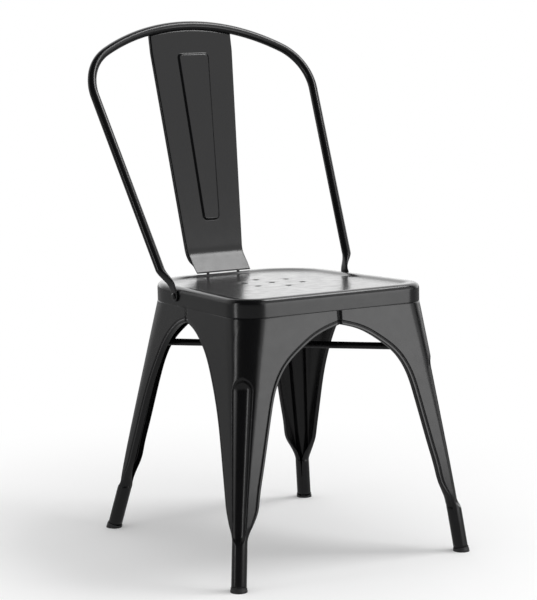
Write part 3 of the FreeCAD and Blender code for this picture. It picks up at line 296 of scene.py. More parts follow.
class Sheet:
    """Points in chair millimetres and the faces between them."""

    def __init__(self):
        self.points = []
        self.faces = []

    def ring(self, points):
        first = len(self.points)
        self.points.extend(Vector(point) for point in points)
        return list(range(first, first + len(points)))

    def band(self, one, two, closed):
        count = len(one)
        for i in range(count if closed else count - 1):
            j = (i + 1) % count
            self.faces.append((one[i], one[j], two[j], two[i]))

    def bands(self, rings, closed=False):
        rows = [self.ring(points) for points in rings]
        for one, two in zip(rows, rows[1:]):
            self.band(one, two, closed)
        return rows

    def cap(self, ring):
        self.faces.append(tuple(ring))

    def join(self, other):
        first = len(self.points)
        self.points += other.points
        self.faces += [tuple(i + first for i in face) for face in other.faces]

    def turn_over(self):
        self.faces = [tuple(reversed(face)) for face in self.faces]

    def mirrored(self):
        other = Sheet()
        other.points = [Vector((-p[0], p[1], p[2])) for p in self.points]
        other.faces = list(self.faces)
        other.turn_over()
        return other

    def placed(self, matrix):
        self.points = [matrix @ point for point in self.points]


def add_piece(name, sheet, material, nodes, thickness=0.0, keep=None):
    """Turns a sheet into a piece that stands for its CAD nodes."""
    mesh = bpy.data.meshes.new(name)
    middle = Vector(SEAT_MIDDLE)
    mesh.from_pydata([point * MM + middle for point in sheet.points], [], sheet.faces)
    form = bmesh.new()
    form.from_mesh(mesh)
    bmesh.ops.remove_doubles(form, verts=form.verts, dist=WELD_REACH * MM)
    form.to_mesh(mesh)
    form.free()
    mesh.polygons.foreach_set("use_smooth", [True] * len(mesh.polygons))
    mesh.materials.append(material)
    piece = bpy.data.objects.new(name, mesh)
    bpy.context.scene.collection.objects.link(piece)
    if thickness:
        wall = piece.modifiers.new("wall", "SOLIDIFY")
        wall.thickness = thickness * MM
        wall.offset = -1.0
    if keep:
        graph = bpy.context.evaluated_depsgraph_get()
        piece.data = bpy.data.meshes.new_from_object(piece.evaluated_get(graph))
        piece.modifiers.clear()
        bpy.data.meshes.remove(mesh)
        for vertex in piece.data.vertices:
            vertex.co = keep(vertex.co)
    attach(piece, "root")
    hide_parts(*nodes)
    return piece


def smooth(value):
    value = min(max(value, 0.0), 1.0)
    return value * value * (3.0 - 2.0 * value)


def steps(first, last, count):
    return [first + (last - first) * i / count for i in range(count + 1)]


def stations(*stretches):
    """Places along a line: each stretch is its end and its number of steps."""
    places = [stretches[0][0]]
    for (start, _), (end, count) in zip(stretches, stretches[1:]):
        places.extend(steps(start, end, count)[1:])
    return places


def on_circle(centre, radius, angle):
    """Point of a flat circle."""
    return centre + Vector((math.cos(angle), math.sin(angle))) * radius


# Seat pan
SIDE_SLOPE = (SEAT_FRONT_WIDTH - SEAT_REAR_WIDTH) / 2 / SEAT_DEPTH

# Steps of its mesh: round a corner, along a side, over the rim, down the dish, round a hole
CORNER_STEPS = 14
SIDE_STEPS = 12
ROLL_STEPS = 10
DISH_STEPS = 14
DRAIN_STEPS = 24

# Points spread over the floor of the dish: spacing, row share, rows and free margins
DISH_SPACING = 13.0
DISH_ROW_SHARE = 0.87
DISH_ROWS = 14
DISH_FROM_DRAIN = 6.0
DISH_FROM_RING = 8.0


def seat_half_width(y):
    return SEAT_FRONT_WIDTH / 2 - SIDE_SLOPE * (y + SEAT_DEPTH / 2)


def seat_ring(inset, z):
    """Outline of the seat moved inward, as points at a height in the seat frame."""
    stretch = math.hypot(1.0, SIDE_SLOPE)
    front = -SEAT_DEPTH / 2 + inset
    rear = SEAT_DEPTH / 2 - inset
    front_x = seat_half_width(front) - inset * stretch
    rear_x = seat_half_width(rear) - inset * stretch
    corners = [Vector((-front_x, front)), Vector((front_x, front)),
               Vector((rear_x, rear)), Vector((-rear_x, rear))]
    radii = [SEAT_FRONT_CORNER] * 2 + [SEAT_REAR_CORNER] * 2
    arcs = []
    for i in range(4):
        to_before = (corners[i - 1] - corners[i]).normalized()
        to_after = (corners[(i + 1) % 4] - corners[i]).normalized()
        half = to_before.angle(to_after) / 2
        radius = radii[i] - inset
        centre = corners[i] + (to_before + to_after).normalized() * (radius / math.sin(half))
        start = corners[i] + to_before * (radius / math.tan(half))
        end = corners[i] + to_after * (radius / math.tan(half))
        first = math.atan2(start.y - centre.y, start.x - centre.x)
        sweep = math.pi - 2 * half
        arcs.append([on_circle(centre, radius, angle)
                     for angle in steps(first, first + sweep, CORNER_STEPS)])
        arcs[-1][-1] = end
    points = []
    for i in range(4):
        points.extend(arcs[i])
        start, end = arcs[i][-1], arcs[(i + 1) % 4][0]
        points.extend(start.lerp(end, k / SIDE_STEPS) for k in range(1, SIDE_STEPS))
    return [Vector((p.x, p.y, z)) for p in points]


def drain_spots():
    """One hole in the middle and a ring of holes round it."""
    middle = Vector((0.0, DRAIN_BACK))
    turn = 2 * math.pi / DRAIN_COUNT
    ring = [on_circle(middle, DRAIN_RING, turn * (i + 0.5)) for i in range(DRAIN_COUNT)]
    return [middle] + ring


def dish_floor(ring):
    """Triangles between the last ring of the dish and the drain holes."""
    points = [Vector((p.x, p.y)) for p in ring]
    count = len(points)
    edges = [(i, (i + 1) % count) for i in range(count)]
    holes = drain_spots()
    for spot in holes:
        for wider in (0.0, DRAIN_ROLL_MIDDLE, DRAIN_ROLL):
            first = len(points)
            points += [on_circle(spot, DRAIN_RADIUS + wider, 2 * math.pi * k / DRAIN_STEPS)
                       for k in range(DRAIN_STEPS)]
            edges += [(first + k, first + (k + 1) % DRAIN_STEPS) for k in range(DRAIN_STEPS)]
    for row in range(-DISH_ROWS, DISH_ROWS + 1):
        for column in range(-DISH_ROWS, DISH_ROWS + 1):
            spot = Vector((column + 0.5 * (row % 2), row * DISH_ROW_SHARE)) * DISH_SPACING
            from_drain = min((spot - hole).length for hole in holes) - DRAIN_RADIUS
            clear = from_drain > DISH_FROM_DRAIN
            inside = min((spot - p).length for p in points[:count]) > DISH_FROM_RING
            if clear and inside and within(spot, points[:count]):
                points.append(spot)
    found = geometry.delaunay_2d_cdt(points, edges, [], 0, 0.001)
    faces = []
    for face in found[2]:
        middle = sum((found[0][i] for i in face), Vector((0.0, 0.0))) / len(face)
        in_hole = min((middle - hole).length for hole in holes) < DRAIN_RADIUS * 0.98
        if not in_hole and within(middle, points[:count]):
            faces.append(face)
    return found[0], faces


def within(spot, outline):
    """Whether a point lies inside a convex outline that runs counter-clockwise."""
    for one, two in zip(outline, outline[1:] + outline[:1]):
        side = two - one
        if side.x * (spot.y - one.y) - side.y * (spot.x - one.x) < -1e-6:
            return False
    return True


def dish_height(spot):
    """The floor of the dish is a little wavy, and its holes are rolled down."""
    along_x, along_y = DISH_WAVE_LENGTHS
    wave = math.sin(spot.x / along_x + DISH_WAVE_SHIFT) * math.sin(spot.y / along_y) * DISH_WAVE
    near = min((spot - hole).length for hole in drain_spots())
    rolled = DRAIN_ROLL_DEPTH * smooth((DRAIN_RADIUS + DRAIN_ROLL - near) / DRAIN_ROLL)
    return -DISH_DEPTH + wave - rolled


def make_seat():
    """Skirt, rolled rim and dish as rings, then the floor with its holes."""
    pan = Sheet()
    profile = [(0.0, rise - SKIRT_HEIGHT) for rise in SKIRT_RISES]
    for angle in steps(0.0, math.pi / 2, ROLL_STEPS):
        profile.append((RIM_ROLL * (1 - math.cos(angle)), RIM_ROLL * (math.sin(angle) - 1)))
    profile += [(inset, 0.0) for inset in RIM_INSETS]
    for share in steps(0.0, 1.0, DISH_STEPS)[1:]:
        profile.append((DISH_START + DISH_SLOPE * share, -DISH_DEPTH * smooth(share)))
    rings = [seat_ring(inset, z) for inset, z in profile]
    for inset in DISH_RINGS:
        rings.append([Vector((p.x, p.y, dish_height(Vector((p.x, p.y)))))
                      for p in seat_ring(inset, 0.0)])
    rows = pan.bands(rings, closed=True)
    points, faces = dish_floor([pan.points[i] for i in rows[-1]])
    lift = pan.ring([Vector((p.x, p.y, dish_height(p))) for p in points])
    for face in faces:
        pan.faces.append(tuple(lift[i] for i in face))
    pan.placed(SEAT_FRAME)
    add_piece("seat_pan_pressed", pan, PAINT, ["seat_pan"], thickness=SHEET)


# Legs
FRONT_FOOT = (427.6 / 2, -226.0)
REAR_FOOT = (388.0 / 2, 209.4)
FRONT_TUBE_SLOPE = (-0.116, 0.148)
REAR_TUBE_SLOPE = (-0.190, -0.195)
TUBE_RADIUS = 12.0
TUBE_HEIGHT = 75.0
SIDE_BUTT = 4.5
BUTT_GAP = 0.2
ARCH_DROP = 22.5
ARCH_FACE_WIDTH = 38.0
ARCH_FOOT_RISE = 40.0
STRIP_WIDTH = 6.2
STRIP_RISE = 1.6
STRIP_STEP = 0.6
STRIP_GROOVE = 1.7
FLANGE_DEPTH = 9.0
FLANGE_BEND = 1.5
FLUTE_TOP = (316.0, 32.0, 19.0)
FLUTE_FOOT = (76.0, 20.0, 12.0)
FLUTE_SOFTNESS = 2.4
FLUTE_REACH = 12.0
FLUTE_FADE = 8.0
FLUTE_FALL = 2.0
LAP_HEIGHT = 12.0
LAP_PROFILE = [(0.0, 0.0), (0.15, 0.4), (0.35, 1.0), (0.6, 1.55), (LAP_HEIGHT / 2, 1.55),
               (LAP_HEIGHT, 1.6)]

# The faces wrap round the foot tube over this height, down to its slit
WRAP_HEIGHT = 24.0
SLIT_TOP = 58.0
SLIT_FOOT = 43.0
SLIT_WIDTH = 1.6
SLIT_CLOSED = 0.2
SLIT_OPEN = 5.0
SLIT_STEP = 1.0
TUBE_FOOT = 3.2

# The turned edges curl into the foot tube over this height
CURL_HEIGHT = 45.0

# Above the foot tube the strip fades in and the bend of the edge grows to its full size
STRIP_FADE = 40.0
BEND_GROWTH = 50.0
LEAST_BEND = 0.02

# Arch outlines as shares: half span from crown to foot, height from foot to crown
FRONT_ARCH = [(0.0, 1.0), (0.24, 0.953), (0.43, 0.882), (0.60, 0.793), (0.72, 0.670),
              (0.785, 0.535), (0.845, 0.385), (0.905, 0.235), (0.965, 0.085), (1.0, 0.0)]
SIDE_ARCH = [(0.0, 1.0), (0.16, 0.966), (0.285, 0.916), (0.40, 0.850), (0.52, 0.745),
             (0.64, 0.610), (0.73, 0.485), (0.80, 0.365), (0.88, 0.215), (0.955, 0.075),
             (1.0, 0.0)]


# Rounds in which the seam's height settles, and places along the arch curve
SEAM_ROUNDS = 4
SPLINE_PLACES = 400
ARCH_PLACES = 900

# The arch curve ends this far inside the foot tube and this far under its top
ARCH_END_INSIDE = 4.0
ARCH_END_BELOW = 2.0


def seat_point(x, y, z):
    return SEAT_FRAME @ Vector((x, y, z))


class Leg:
    """Outer faces of one leg on the +X side; ahead is -1 in front, +1 behind."""

    def __init__(self, ahead):
        self.ahead = ahead
        depth = SEAT_DEPTH / 2
        self.seam_end = seat_point(0.0, ahead * depth, -SKIRT_HEIGHT)
        side_x = seat_half_width(ahead * depth)
        self.seam_corner = seat_point(side_x, ahead * depth, -SKIRT_HEIGHT)
        self.seam_middle = seat_point(seat_half_width(SIDE_BUTT), SIDE_BUTT, -SKIRT_HEIGHT)
        foot = FRONT_FOOT if ahead < 0 else REAR_FOOT
        slope = FRONT_TUBE_SLOPE if ahead < 0 else REAR_TUBE_SLOPE
        self.foot = Vector((*foot, 0.0))
        self.slope = Vector((*slope, 1.0))
        self.top_corner = SEAT_FRONT_CORNER if ahead < 0 else SEAT_REAR_CORNER
        self.tube_top = self.foot + self.slope * TUBE_HEIGHT
        self.split_y = self.seam_middle.y
        along = self.seam_corner - self.seam_middle
        touch = self.tube_top + Vector((TUBE_RADIUS, 0.0, 0.0))
        self.side_normal = along.cross(touch - self.seam_middle)
        low = self.section(TUBE_HEIGHT)
        self.tube_out = (low["corner"] - low["centre"]).normalized()

    def section(self, z):
        """Corner of the leg in plan at a height, and the ways of its faces."""
        low_y = self.tube_top.y + self.ahead * TUBE_RADIUS
        share = (z - TUBE_HEIGHT) / (self.seam_end.z - TUBE_HEIGHT)
        y = low_y + (self.seam_end.y - low_y) * share
        corner = Vector((self.side_x(y, z), y))
        middle = Vector((self.side_x(self.split_y, z), self.split_y))
        share = (z - TUBE_HEIGHT) / (self.seam_corner.z - TUBE_HEIGHT)
        radius = TUBE_RADIUS + (self.top_corner - TUBE_RADIUS) * share
        front = Vector((-1.0, 0.0))
        side = (middle - corner).normalized()
        half = front.angle(side) / 2
        centre = corner + (front + side).normalized() * (radius / math.sin(half))
        return {"z": z, "corner": corner, "front": front, "side": side, "radius": radius,
                "centre": centre, "turn": math.pi / 2 - half, "tangent": radius / math.tan(half)}

    def side_x(self, y, z):
        normal, middle = self.side_normal, self.seam_middle
        drop = normal.y * (y - middle.y) + normal.z * (z - middle.z)
        return middle.x - drop / normal.x

    def surface(self, z, along, inset=0.0):
        """Point of a face from its distance along the section, less than 0 in front."""
        cut = self.section(max(z, TUBE_HEIGHT))
        centre = cut["centre"]
        if z < TUBE_HEIGHT:
            centre = centre + (self.slope * (z - TUBE_HEIGHT)).xy
            cut = dict(cut, z=z, centre=centre)
        arc = cut["radius"] * cut["turn"]
        out = (cut["corner"] - cut["centre"]).normalized()
        if z < TUBE_HEIGHT:
            out = self.tube_out
        across = (cut["side"] - cut["front"]).normalized()
        angle = along / cut["radius"]
        normal = out * math.cos(angle) + across * math.sin(angle)
        spot = centre + normal * cut["radius"]
        wrap = smooth((TUBE_HEIGHT + WRAP_HEIGHT - z) / WRAP_HEIGHT)
        if abs(along) > arc and wrap < 1.0:
            way = cut["front"] if along < 0 else cut["side"]
            flat_spot = cut["corner"] + way * (cut["tangent"] + abs(along) - arc)
            flat_normal = (out - way * out.dot(way)).normalized()
            spot = flat_spot.lerp(spot, wrap)
            normal = flat_normal.lerp(normal, wrap).normalized()
        press = self.flute_depth(cut, spot, out)
        spot = spot - normal * inset - out * press
        return Vector((spot.x, spot.y, z))

    def along(self, z, across, by_side):
        """Distance along the section of a point given by its place on the arch plane."""
        cut = self.section(z)
        arc = cut["radius"] * cut["turn"]
        if by_side:
            y = self.split_y + self.ahead * across
            run = (y - cut["corner"].y) / cut["side"].y
            return arc + run - cut["tangent"]
        return -(arc + cut["corner"].x - across - cut["tangent"])

    def flute_depth(self, cut, spot, out):
        """How far the flute presses the corner inward, with a soft rim."""
        z = cut["z"]
        (top, top_width, top_radius), (low, low_width, low_radius) = FLUTE_TOP, FLUTE_FOOT
        top -= top_width / 2
        low += low_width / 2
        held = min(max(z, low), top)
        share = (held - low) / (top - low)
        half = (low_width + (top_width - low_width) * share) / 2
        radius = low_radius + (top_radius - low_radius) * share
        from_centre = spot - cut["centre"]
        lateral = math.sqrt(max(from_centre.length_squared - from_centre.dot(out) ** 2, 0.0))
        away = math.hypot(lateral, z - held)
        left = half + FLUTE_REACH - away
        if left < 0.0:
            return 0.0
        if away < radius:
            hollow = math.sqrt(radius ** 2 - away ** 2)
        else:
            hollow = -FLUTE_FALL * (away - radius)
        hollow -= math.sqrt(radius ** 2 - half ** 2)
        depth = hollow + bulge(cut, lateral) - bulge(cut, half)
        return (depth + math.hypot(depth, FLUTE_SOFTNESS)) / 2 * smooth(left / FLUTE_FADE)

    def seam_height(self, along_at):
        """Height of the seam under the skirt, at the distance that along_at gives."""
        z = self.seam_end.z
        for _ in range(SEAM_ROUNDS):
            spot = self.surface(z, along_at(z))
            rise = -(SKIRT_HEIGHT + SEAM_GAP) - spot.y * math.sin(SEAT_TILT)
            z = SEAT_HEIGHT + rise / math.cos(SEAT_TILT)
        return z


def bulge(cut, lateral):
    """Height of the outer faces over the centre of their rounded corner."""
    radius, turn = cut["radius"], cut["turn"]
    reach = radius * math.sin(turn)
    if lateral < reach:
        return math.sqrt(radius ** 2 - lateral ** 2)
    return radius * math.cos(turn) - (lateral - reach) * math.tan(turn)


def spline(points, count):
    """Smooth curve through points, as even places along it and the way across it."""
    knots = [0.0]
    for one, two in zip(points, points[1:]):
        knots.append(knots[-1] + math.dist(one, two))
    size = len(points)
    matrix = np.zeros((size, size))
    right = np.zeros((size, 2))
    values = np.array(points)
    matrix[0, 0] = matrix[-1, -1] = 1.0
    for i in range(1, size - 1):
        before, after = knots[i] - knots[i - 1], knots[i + 1] - knots[i]
        matrix[i, i - 1:i + 2] = before, 2 * (before + after), after
        right[i] = 6 * ((values[i + 1] - values[i]) / after
                        - (values[i] - values[i - 1]) / before)
    curve = np.linalg.solve(matrix, right)
    places = []
    for t in np.linspace(0.0, knots[-1], SPLINE_PLACES):
        i = min(max(int(np.searchsorted(knots, t)) - 1, 0), size - 2)
        gap = knots[i + 1] - knots[i]
        a, b = (knots[i + 1] - t) / gap, (t - knots[i]) / gap
        places.append(a * values[i] + b * values[i + 1]
                      + ((a ** 3 - a) * curve[i] + (b ** 3 - b) * curve[i + 1]) * gap ** 2 / 6)
    places = np.array(places)
    lengths = np.concatenate([[0.0], np.cumsum(np.hypot(*np.diff(places, axis=0).T))])
    even = np.linspace(0.0, lengths[-1], count)
    x = np.interp(even, lengths, places[:, 0])
    z = np.interp(even, lengths, places[:, 1])
    way = np.stack([np.gradient(x), np.gradient(z)], axis=1)
    way /= np.hypot(*way.T)[:, None]
    return x, z, -way[:, 1], way[:, 0]


def arch_curve(leg, by_side, count):
    """Edge of the arch from its crown to the foot tube, and the way into the sheet."""
    low = TUBE_HEIGHT + ARCH_FOOT_RISE
    corner = leg.section(low)["corner"]
    if by_side:
        crown = leg.seam_middle.z - ARCH_DROP
        span = abs(corner.y - leg.split_y) - ARCH_FACE_WIDTH
        inner = abs(leg.tube_top.y - leg.split_y) - TUBE_RADIUS
    else:
        crown = leg.seam_end.z - ARCH_DROP
        span = corner.x - ARCH_FACE_WIDTH
        inner = leg.tube_top.x - TUBE_RADIUS
    shares = SIDE_ARCH if by_side else FRONT_ARCH
    points = [(span * across, low + (crown - low) * up) for across, up in shares]
    half_way = ((points[-1][0] + inner) / 2, (low + TUBE_HEIGHT) / 2)
    points.append((half_way[0] + ARCH_END_INSIDE / 2, half_way[1] + ARCH_END_BELOW))
    points.append((inner + ARCH_END_INSIDE, TUBE_HEIGHT - ARCH_END_BELOW))
    x, z, out_x, out_z = spline(points, count)
    x[0] = BUTT_GAP
    out_x, out_z = -out_x, -out_z
    if out_z[0] < 0:
        out_x, out_z = -out_x, -out_z
    return x, z, out_x, out_z


# Columns of a leg face: along the seam, then down the corner; and rows of one column
SEAM_COLUMNS = 26
CORNER_STRETCHES = [(404.0, 0), (338.0, 8), (294.0, 18), (110.0, 22), (75.0, 14)]
ARCH_TURN_SHARE = 0.40
FLANGE_SHARES = [i / 6 for i in range(7)]
BEND_ROWS = 4
EDGE_ROWS = 16
MIDDLE_ROWS = 9
FLUTE_ROWS = 18
FLUTE_BAND = 24.0
BAND_SHARE = 0.65
UPRIGHT_COLUMNS = 4
LEAST_RISE = 0.3
TUBE_ROWS = [(TUBE_HEIGHT, 0), (SLIT_TOP, 9), (SLIT_FOOT + SLIT_STEP, 4), (SLIT_FOOT, 1),
             (TUBE_FOOT, 5)]

# The strip narrows where the face does: it is full this far from the corner and beyond
STRIP_FULL_FROM = 38.0
STRIP_NARROWING = 30.0
STRIP_LEAST = 0.3
ZONE_SPARE = 1.0
ZONE_SHARE = 0.6


def strip_inset(distance, scale):
    """Depth of the pressed strip at a distance from the arch edge."""
    width = STRIP_WIDTH * scale
    if distance > width:
        return STRIP_GROOVE * (1.0 - smooth((distance - width) / STRIP_RISE))
    round_top = (2.0 * distance / width - 1.0) ** 2 if distance > width / 2 else 0.0
    return STRIP_STEP + (STRIP_GROOVE - STRIP_STEP) * round_top


def leg_face(leg, by_side):
    """Grid of one face from the turned edge of the arch to the seam and the corner."""
    corner_z = leg.seam_height(lambda z: 0.0)
    butt_z = leg.seam_height(lambda z: leg.along(z, BUTT_GAP, by_side))
    butt_along = leg.along(butt_z, BUTT_GAP, by_side)
    heights = stations(*CORNER_STRETCHES)
    heights = [TUBE_HEIGHT + (z - TUBE_HEIGHT) * (corner_z - TUBE_HEIGHT)
               / (heights[0] - TUBE_HEIGHT) for z in heights]
    columns = SEAM_COLUMNS + len(heights) - 1
    count = ARCH_PLACES
    curve = arch_curve(leg, by_side, count)
    sign = 1.0 if by_side else -1.0
    grid, tab = [], []
    for i in range(columns + 1):
        if i <= SEAM_COLUMNS:
            share = i / SEAM_COLUMNS
            place = ARCH_TURN_SHARE * share
        else:
            gone = (heights[0] - heights[i - SEAM_COLUMNS]) / (heights[0] - TUBE_HEIGHT)
            place = ARCH_TURN_SHARE + (1 - ARCH_TURN_SHARE) * gone
        k = min(int(round(place * (count - 1))), count - 1)
        across, z, out_x, out_z = (float(values[k]) for values in curve)
        upright = 1.0 - smooth(i / UPRIGHT_COLUMNS)
        lift = 1.0 / max(out_z, LEAST_RISE)
        out_x, out_z = out_x * (1 - upright), out_z * (1 - upright) + lift * upright
        edge_along = leg.along(z, across, by_side)
        if i <= SEAM_COLUMNS:
            target_along = butt_along * (1 - share)
            target_z = leg.seam_height(lambda z: target_along)
        else:
            target_along, target_z = 0.0, heights[i - SEAM_COLUMNS]
        scale = 1.0 - (STRIP_FULL_FROM - abs(edge_along)) / STRIP_NARROWING
        scale = min(max(scale, STRIP_LEAST), 1.0)
        zone = STRIP_WIDTH * scale + STRIP_RISE + ZONE_SPARE
        zone = min(zone, ZONE_SHARE * abs(edge_along))
        fade = smooth((z - TUBE_HEIGHT) / STRIP_FADE)
        growth = min(max((z - TUBE_HEIGHT) / BEND_GROWTH, LEAST_BEND), 1.0)
        bend = min(FLANGE_BEND, FLANGE_DEPTH * growth / 2)
        column = turned_edge(leg, sign, z, edge_along, STRIP_STEP * fade + bend)
        for angle in steps(0.0, math.pi / 2, BEND_ROWS)[1:]:
            step = bend * (1 - math.cos(angle))
            column.append(arch_spot(leg, by_side, across, z, out_x, out_z, step,
                                    STRIP_STEP * fade + bend * (1 - math.sin(angle))))
        for distance in steps(bend, zone, EDGE_ROWS)[1:]:
            column.append(arch_spot(leg, by_side, across, z, out_x, out_z, distance,
                                    strip_inset(distance, scale) * fade))
        start_z = z + out_z * zone
        start_along = leg.along(start_z, across + out_x * zone, by_side)
        length = math.hypot(target_z - start_z, target_along - start_along)
        band = min(FLUTE_BAND / max(abs(start_along), 1.0), BAND_SHARE)
        shares = stations((0.0, 0), (1.0 - band, MIDDLE_ROWS), (1.0, FLUTE_ROWS))
        for share in shares[1:]:
            along = start_along + (target_along - start_along) * share
            height = start_z + (target_z - start_z) * share
            inset = strip_inset(zone + length * share, scale) * fade
            column.append(leg.surface(height, along, inset))
        grid.append(column)
        if i <= SEAM_COLUMNS:
            tab.append([leg.surface(target_z + rise, target_along, inset)
                        for rise, inset in LAP_PROFILE])
    grid += tube_columns(leg, sign, abs(edge_along), len(grid[-1]))
    return grid, tab, sign


def turned_edge(leg, sign, z, edge_along, lip):
    """Turned edge of a face, from its free end; near the foot it curls into the tube."""
    start = leg.surface(z, edge_along, lip)
    cut = leg.section(max(z, TUBE_HEIGHT))
    out = (cut["corner"] - cut["centre"]).normalized()
    across = (cut["side"] - cut["front"]).normalized() * sign
    radius = leg.section(TUBE_HEIGHT)["radius"]
    first = min(abs(edge_along) / radius, math.pi / 2)
    last = math.pi - SLIT_OPEN / 2 / radius
    curl = smooth((TUBE_HEIGHT + CURL_HEIGHT - z) / CURL_HEIGHT)
    points = []
    for share in FLANGE_SHARES:
        inset = FLANGE_DEPTH + (lip - FLANGE_DEPTH) * share
        straight = leg.surface(z, edge_along, inset) - start
        angle = last + (first - last) * share
        way = out * (math.cos(angle) - math.cos(first))
        way = (way + across * (math.sin(angle) - math.sin(first))) * radius
        points.append(start + straight.lerp(Vector((way.x, way.y, 0.0)), curl))
    return points


def tube_columns(leg, sign, start, count):
    """The face goes on as half of the foot tube, from its outside to the slit."""
    radius = leg.section(TUBE_HEIGHT)["radius"]
    columns = []
    for z in stations(*TUBE_ROWS)[1:]:
        width = SLIT_WIDTH if z > SLIT_FOOT + SLIT_STEP / 2 else SLIT_CLOSED
        gone = min((TUBE_HEIGHT - z) / (TUBE_HEIGHT - SLIT_TOP), 1.0)
        opening = SLIT_OPEN + (width - SLIT_OPEN) * math.sin(math.pi / 2 * gone)
        edge = math.pi * radius - opening / 2
        column = []
        for share in FLANGE_SHARES:
            column.append(leg.surface(z, sign * (edge + (start - edge) * share)))
        column += [column[-1]] * BEND_ROWS
        for share in steps(0.0, 1.0, count - len(column))[1:]:
            column.append(leg.surface(z, sign * start * (1 - share)))
        columns.append(column)
    return columns


def arch_spot(leg, by_side, across, z, out_x, out_z, distance, inset):
    """Point of a face at a distance from the edge of the arch."""
    height = z + out_z * distance
    along = leg.along(height, across + out_x * distance, by_side)
    return leg.surface(height, along, inset)


def butt_keeper(leg, side):
    """Keeps the points of a leg on its own side of the two butt lines."""
    gap = BUTT_GAP * MM
    split = leg.split_y * MM + SEAT_MIDDLE[1]

    def keep(point):
        x, y, z = point
        x = max(x * side, gap) * side
        y = split + leg.ahead * max((y - split) * leg.ahead, gap)
        return Vector((x, y, z))

    return keep


def make_leg(name, ahead):
    leg = Leg(ahead)
    sheet = Sheet()
    for by_side in (False, True):
        grid, tab, sign = leg_face(leg, by_side)
        part = Sheet()
        part.bands(grid)
        part.bands(tab)
        if (sign > 0) == (ahead > 0):
            part.turn_over()
        sheet.join(part)
    for side, form, hand in (("left", sheet, 1.0), ("right", sheet.mirrored(), -1.0)):
        node = "leg_%s_%s" % (name, side)
        add_piece(node + "_sheet", form, PAINT, [node], thickness=SHEET,
                  keep=butt_keeper(leg, hand))


# Back hoop, with the steps round its section and along its stretches
SECTION_STEPS = 32
CROWN_STEPS = 40
SHOULDER_STEPS = 28
ARM_STEPS = 12
BEND_STEPS = 16
TIP_STEPS = 10


def skirt_outward():
    return Vector((1.0, SIDE_SLOPE, 0.0)).normalized()


def eye_spot():
    """Middle of the hoop eye on the skirt, in the seat frame."""
    y = HOOP_REACH - (HOOP_TOP - EYE_HEIGHT) * math.tan(HOOP_LEAN)
    spot = SEAT_FRAME.inverted() @ Vector((0.0, y, EYE_HEIGHT))
    return Vector((seat_half_width(spot.y), spot.y, spot.z))


def hoop_arm_x(z):
    return SHOULDER_WIDTH / 2 + ARM_TAPER * z


def hoop_path():
    """Centre points of the left half in the hoop frame, with the way along it."""
    down = Vector((-ARM_TAPER, 0.0, -1.0)).normalized()
    inward = Vector((down.z, 0.0, -down.x))
    crown_centre = Vector((0.0, 0.0, -CROWN_RADIUS))
    inner = Vector((hoop_arm_x(0.0), 0.0, 0.0)) + inward * SHOULDER_RADIUS
    offset = inner - crown_centre
    along = offset.dot(down)
    reach = (CROWN_RADIUS - SHOULDER_RADIUS) ** 2 - (offset.dot(offset) - along ** 2)
    centre = inner + down * (-along - math.sqrt(reach))
    turn = math.atan2((centre - crown_centre).x, (centre - crown_centre).z)
    final = math.atan2(-inward.x, -inward.z)
    path = []
    for angle in steps(0.0, turn, CROWN_STEPS):
        out = Vector((math.sin(angle), 0.0, math.cos(angle)))
        path.append((crown_centre + out * CROWN_RADIUS, out))
    for angle in steps(turn, final, SHOULDER_STEPS)[1:]:
        out = Vector((math.sin(angle), 0.0, math.cos(angle)))
        path.append((centre + out * SHOULDER_RADIUS, out))
    return path, centre - inward * SHOULDER_RADIUS, down


def hoop_section(centre, across, side, half_across, half_side, power):
    """Round section at power 1, and squarer as the power falls."""
    points = []
    for k in range(SECTION_STEPS):
        angle = 2 * math.pi * k / SECTION_STEPS
        c, d = math.cos(angle), math.sin(angle)
        u = math.copysign(abs(c) ** power, c) * half_across
        v = math.copysign(abs(d) ** power, d) * half_side
        points.append(centre + across * u + side * v)
    return points


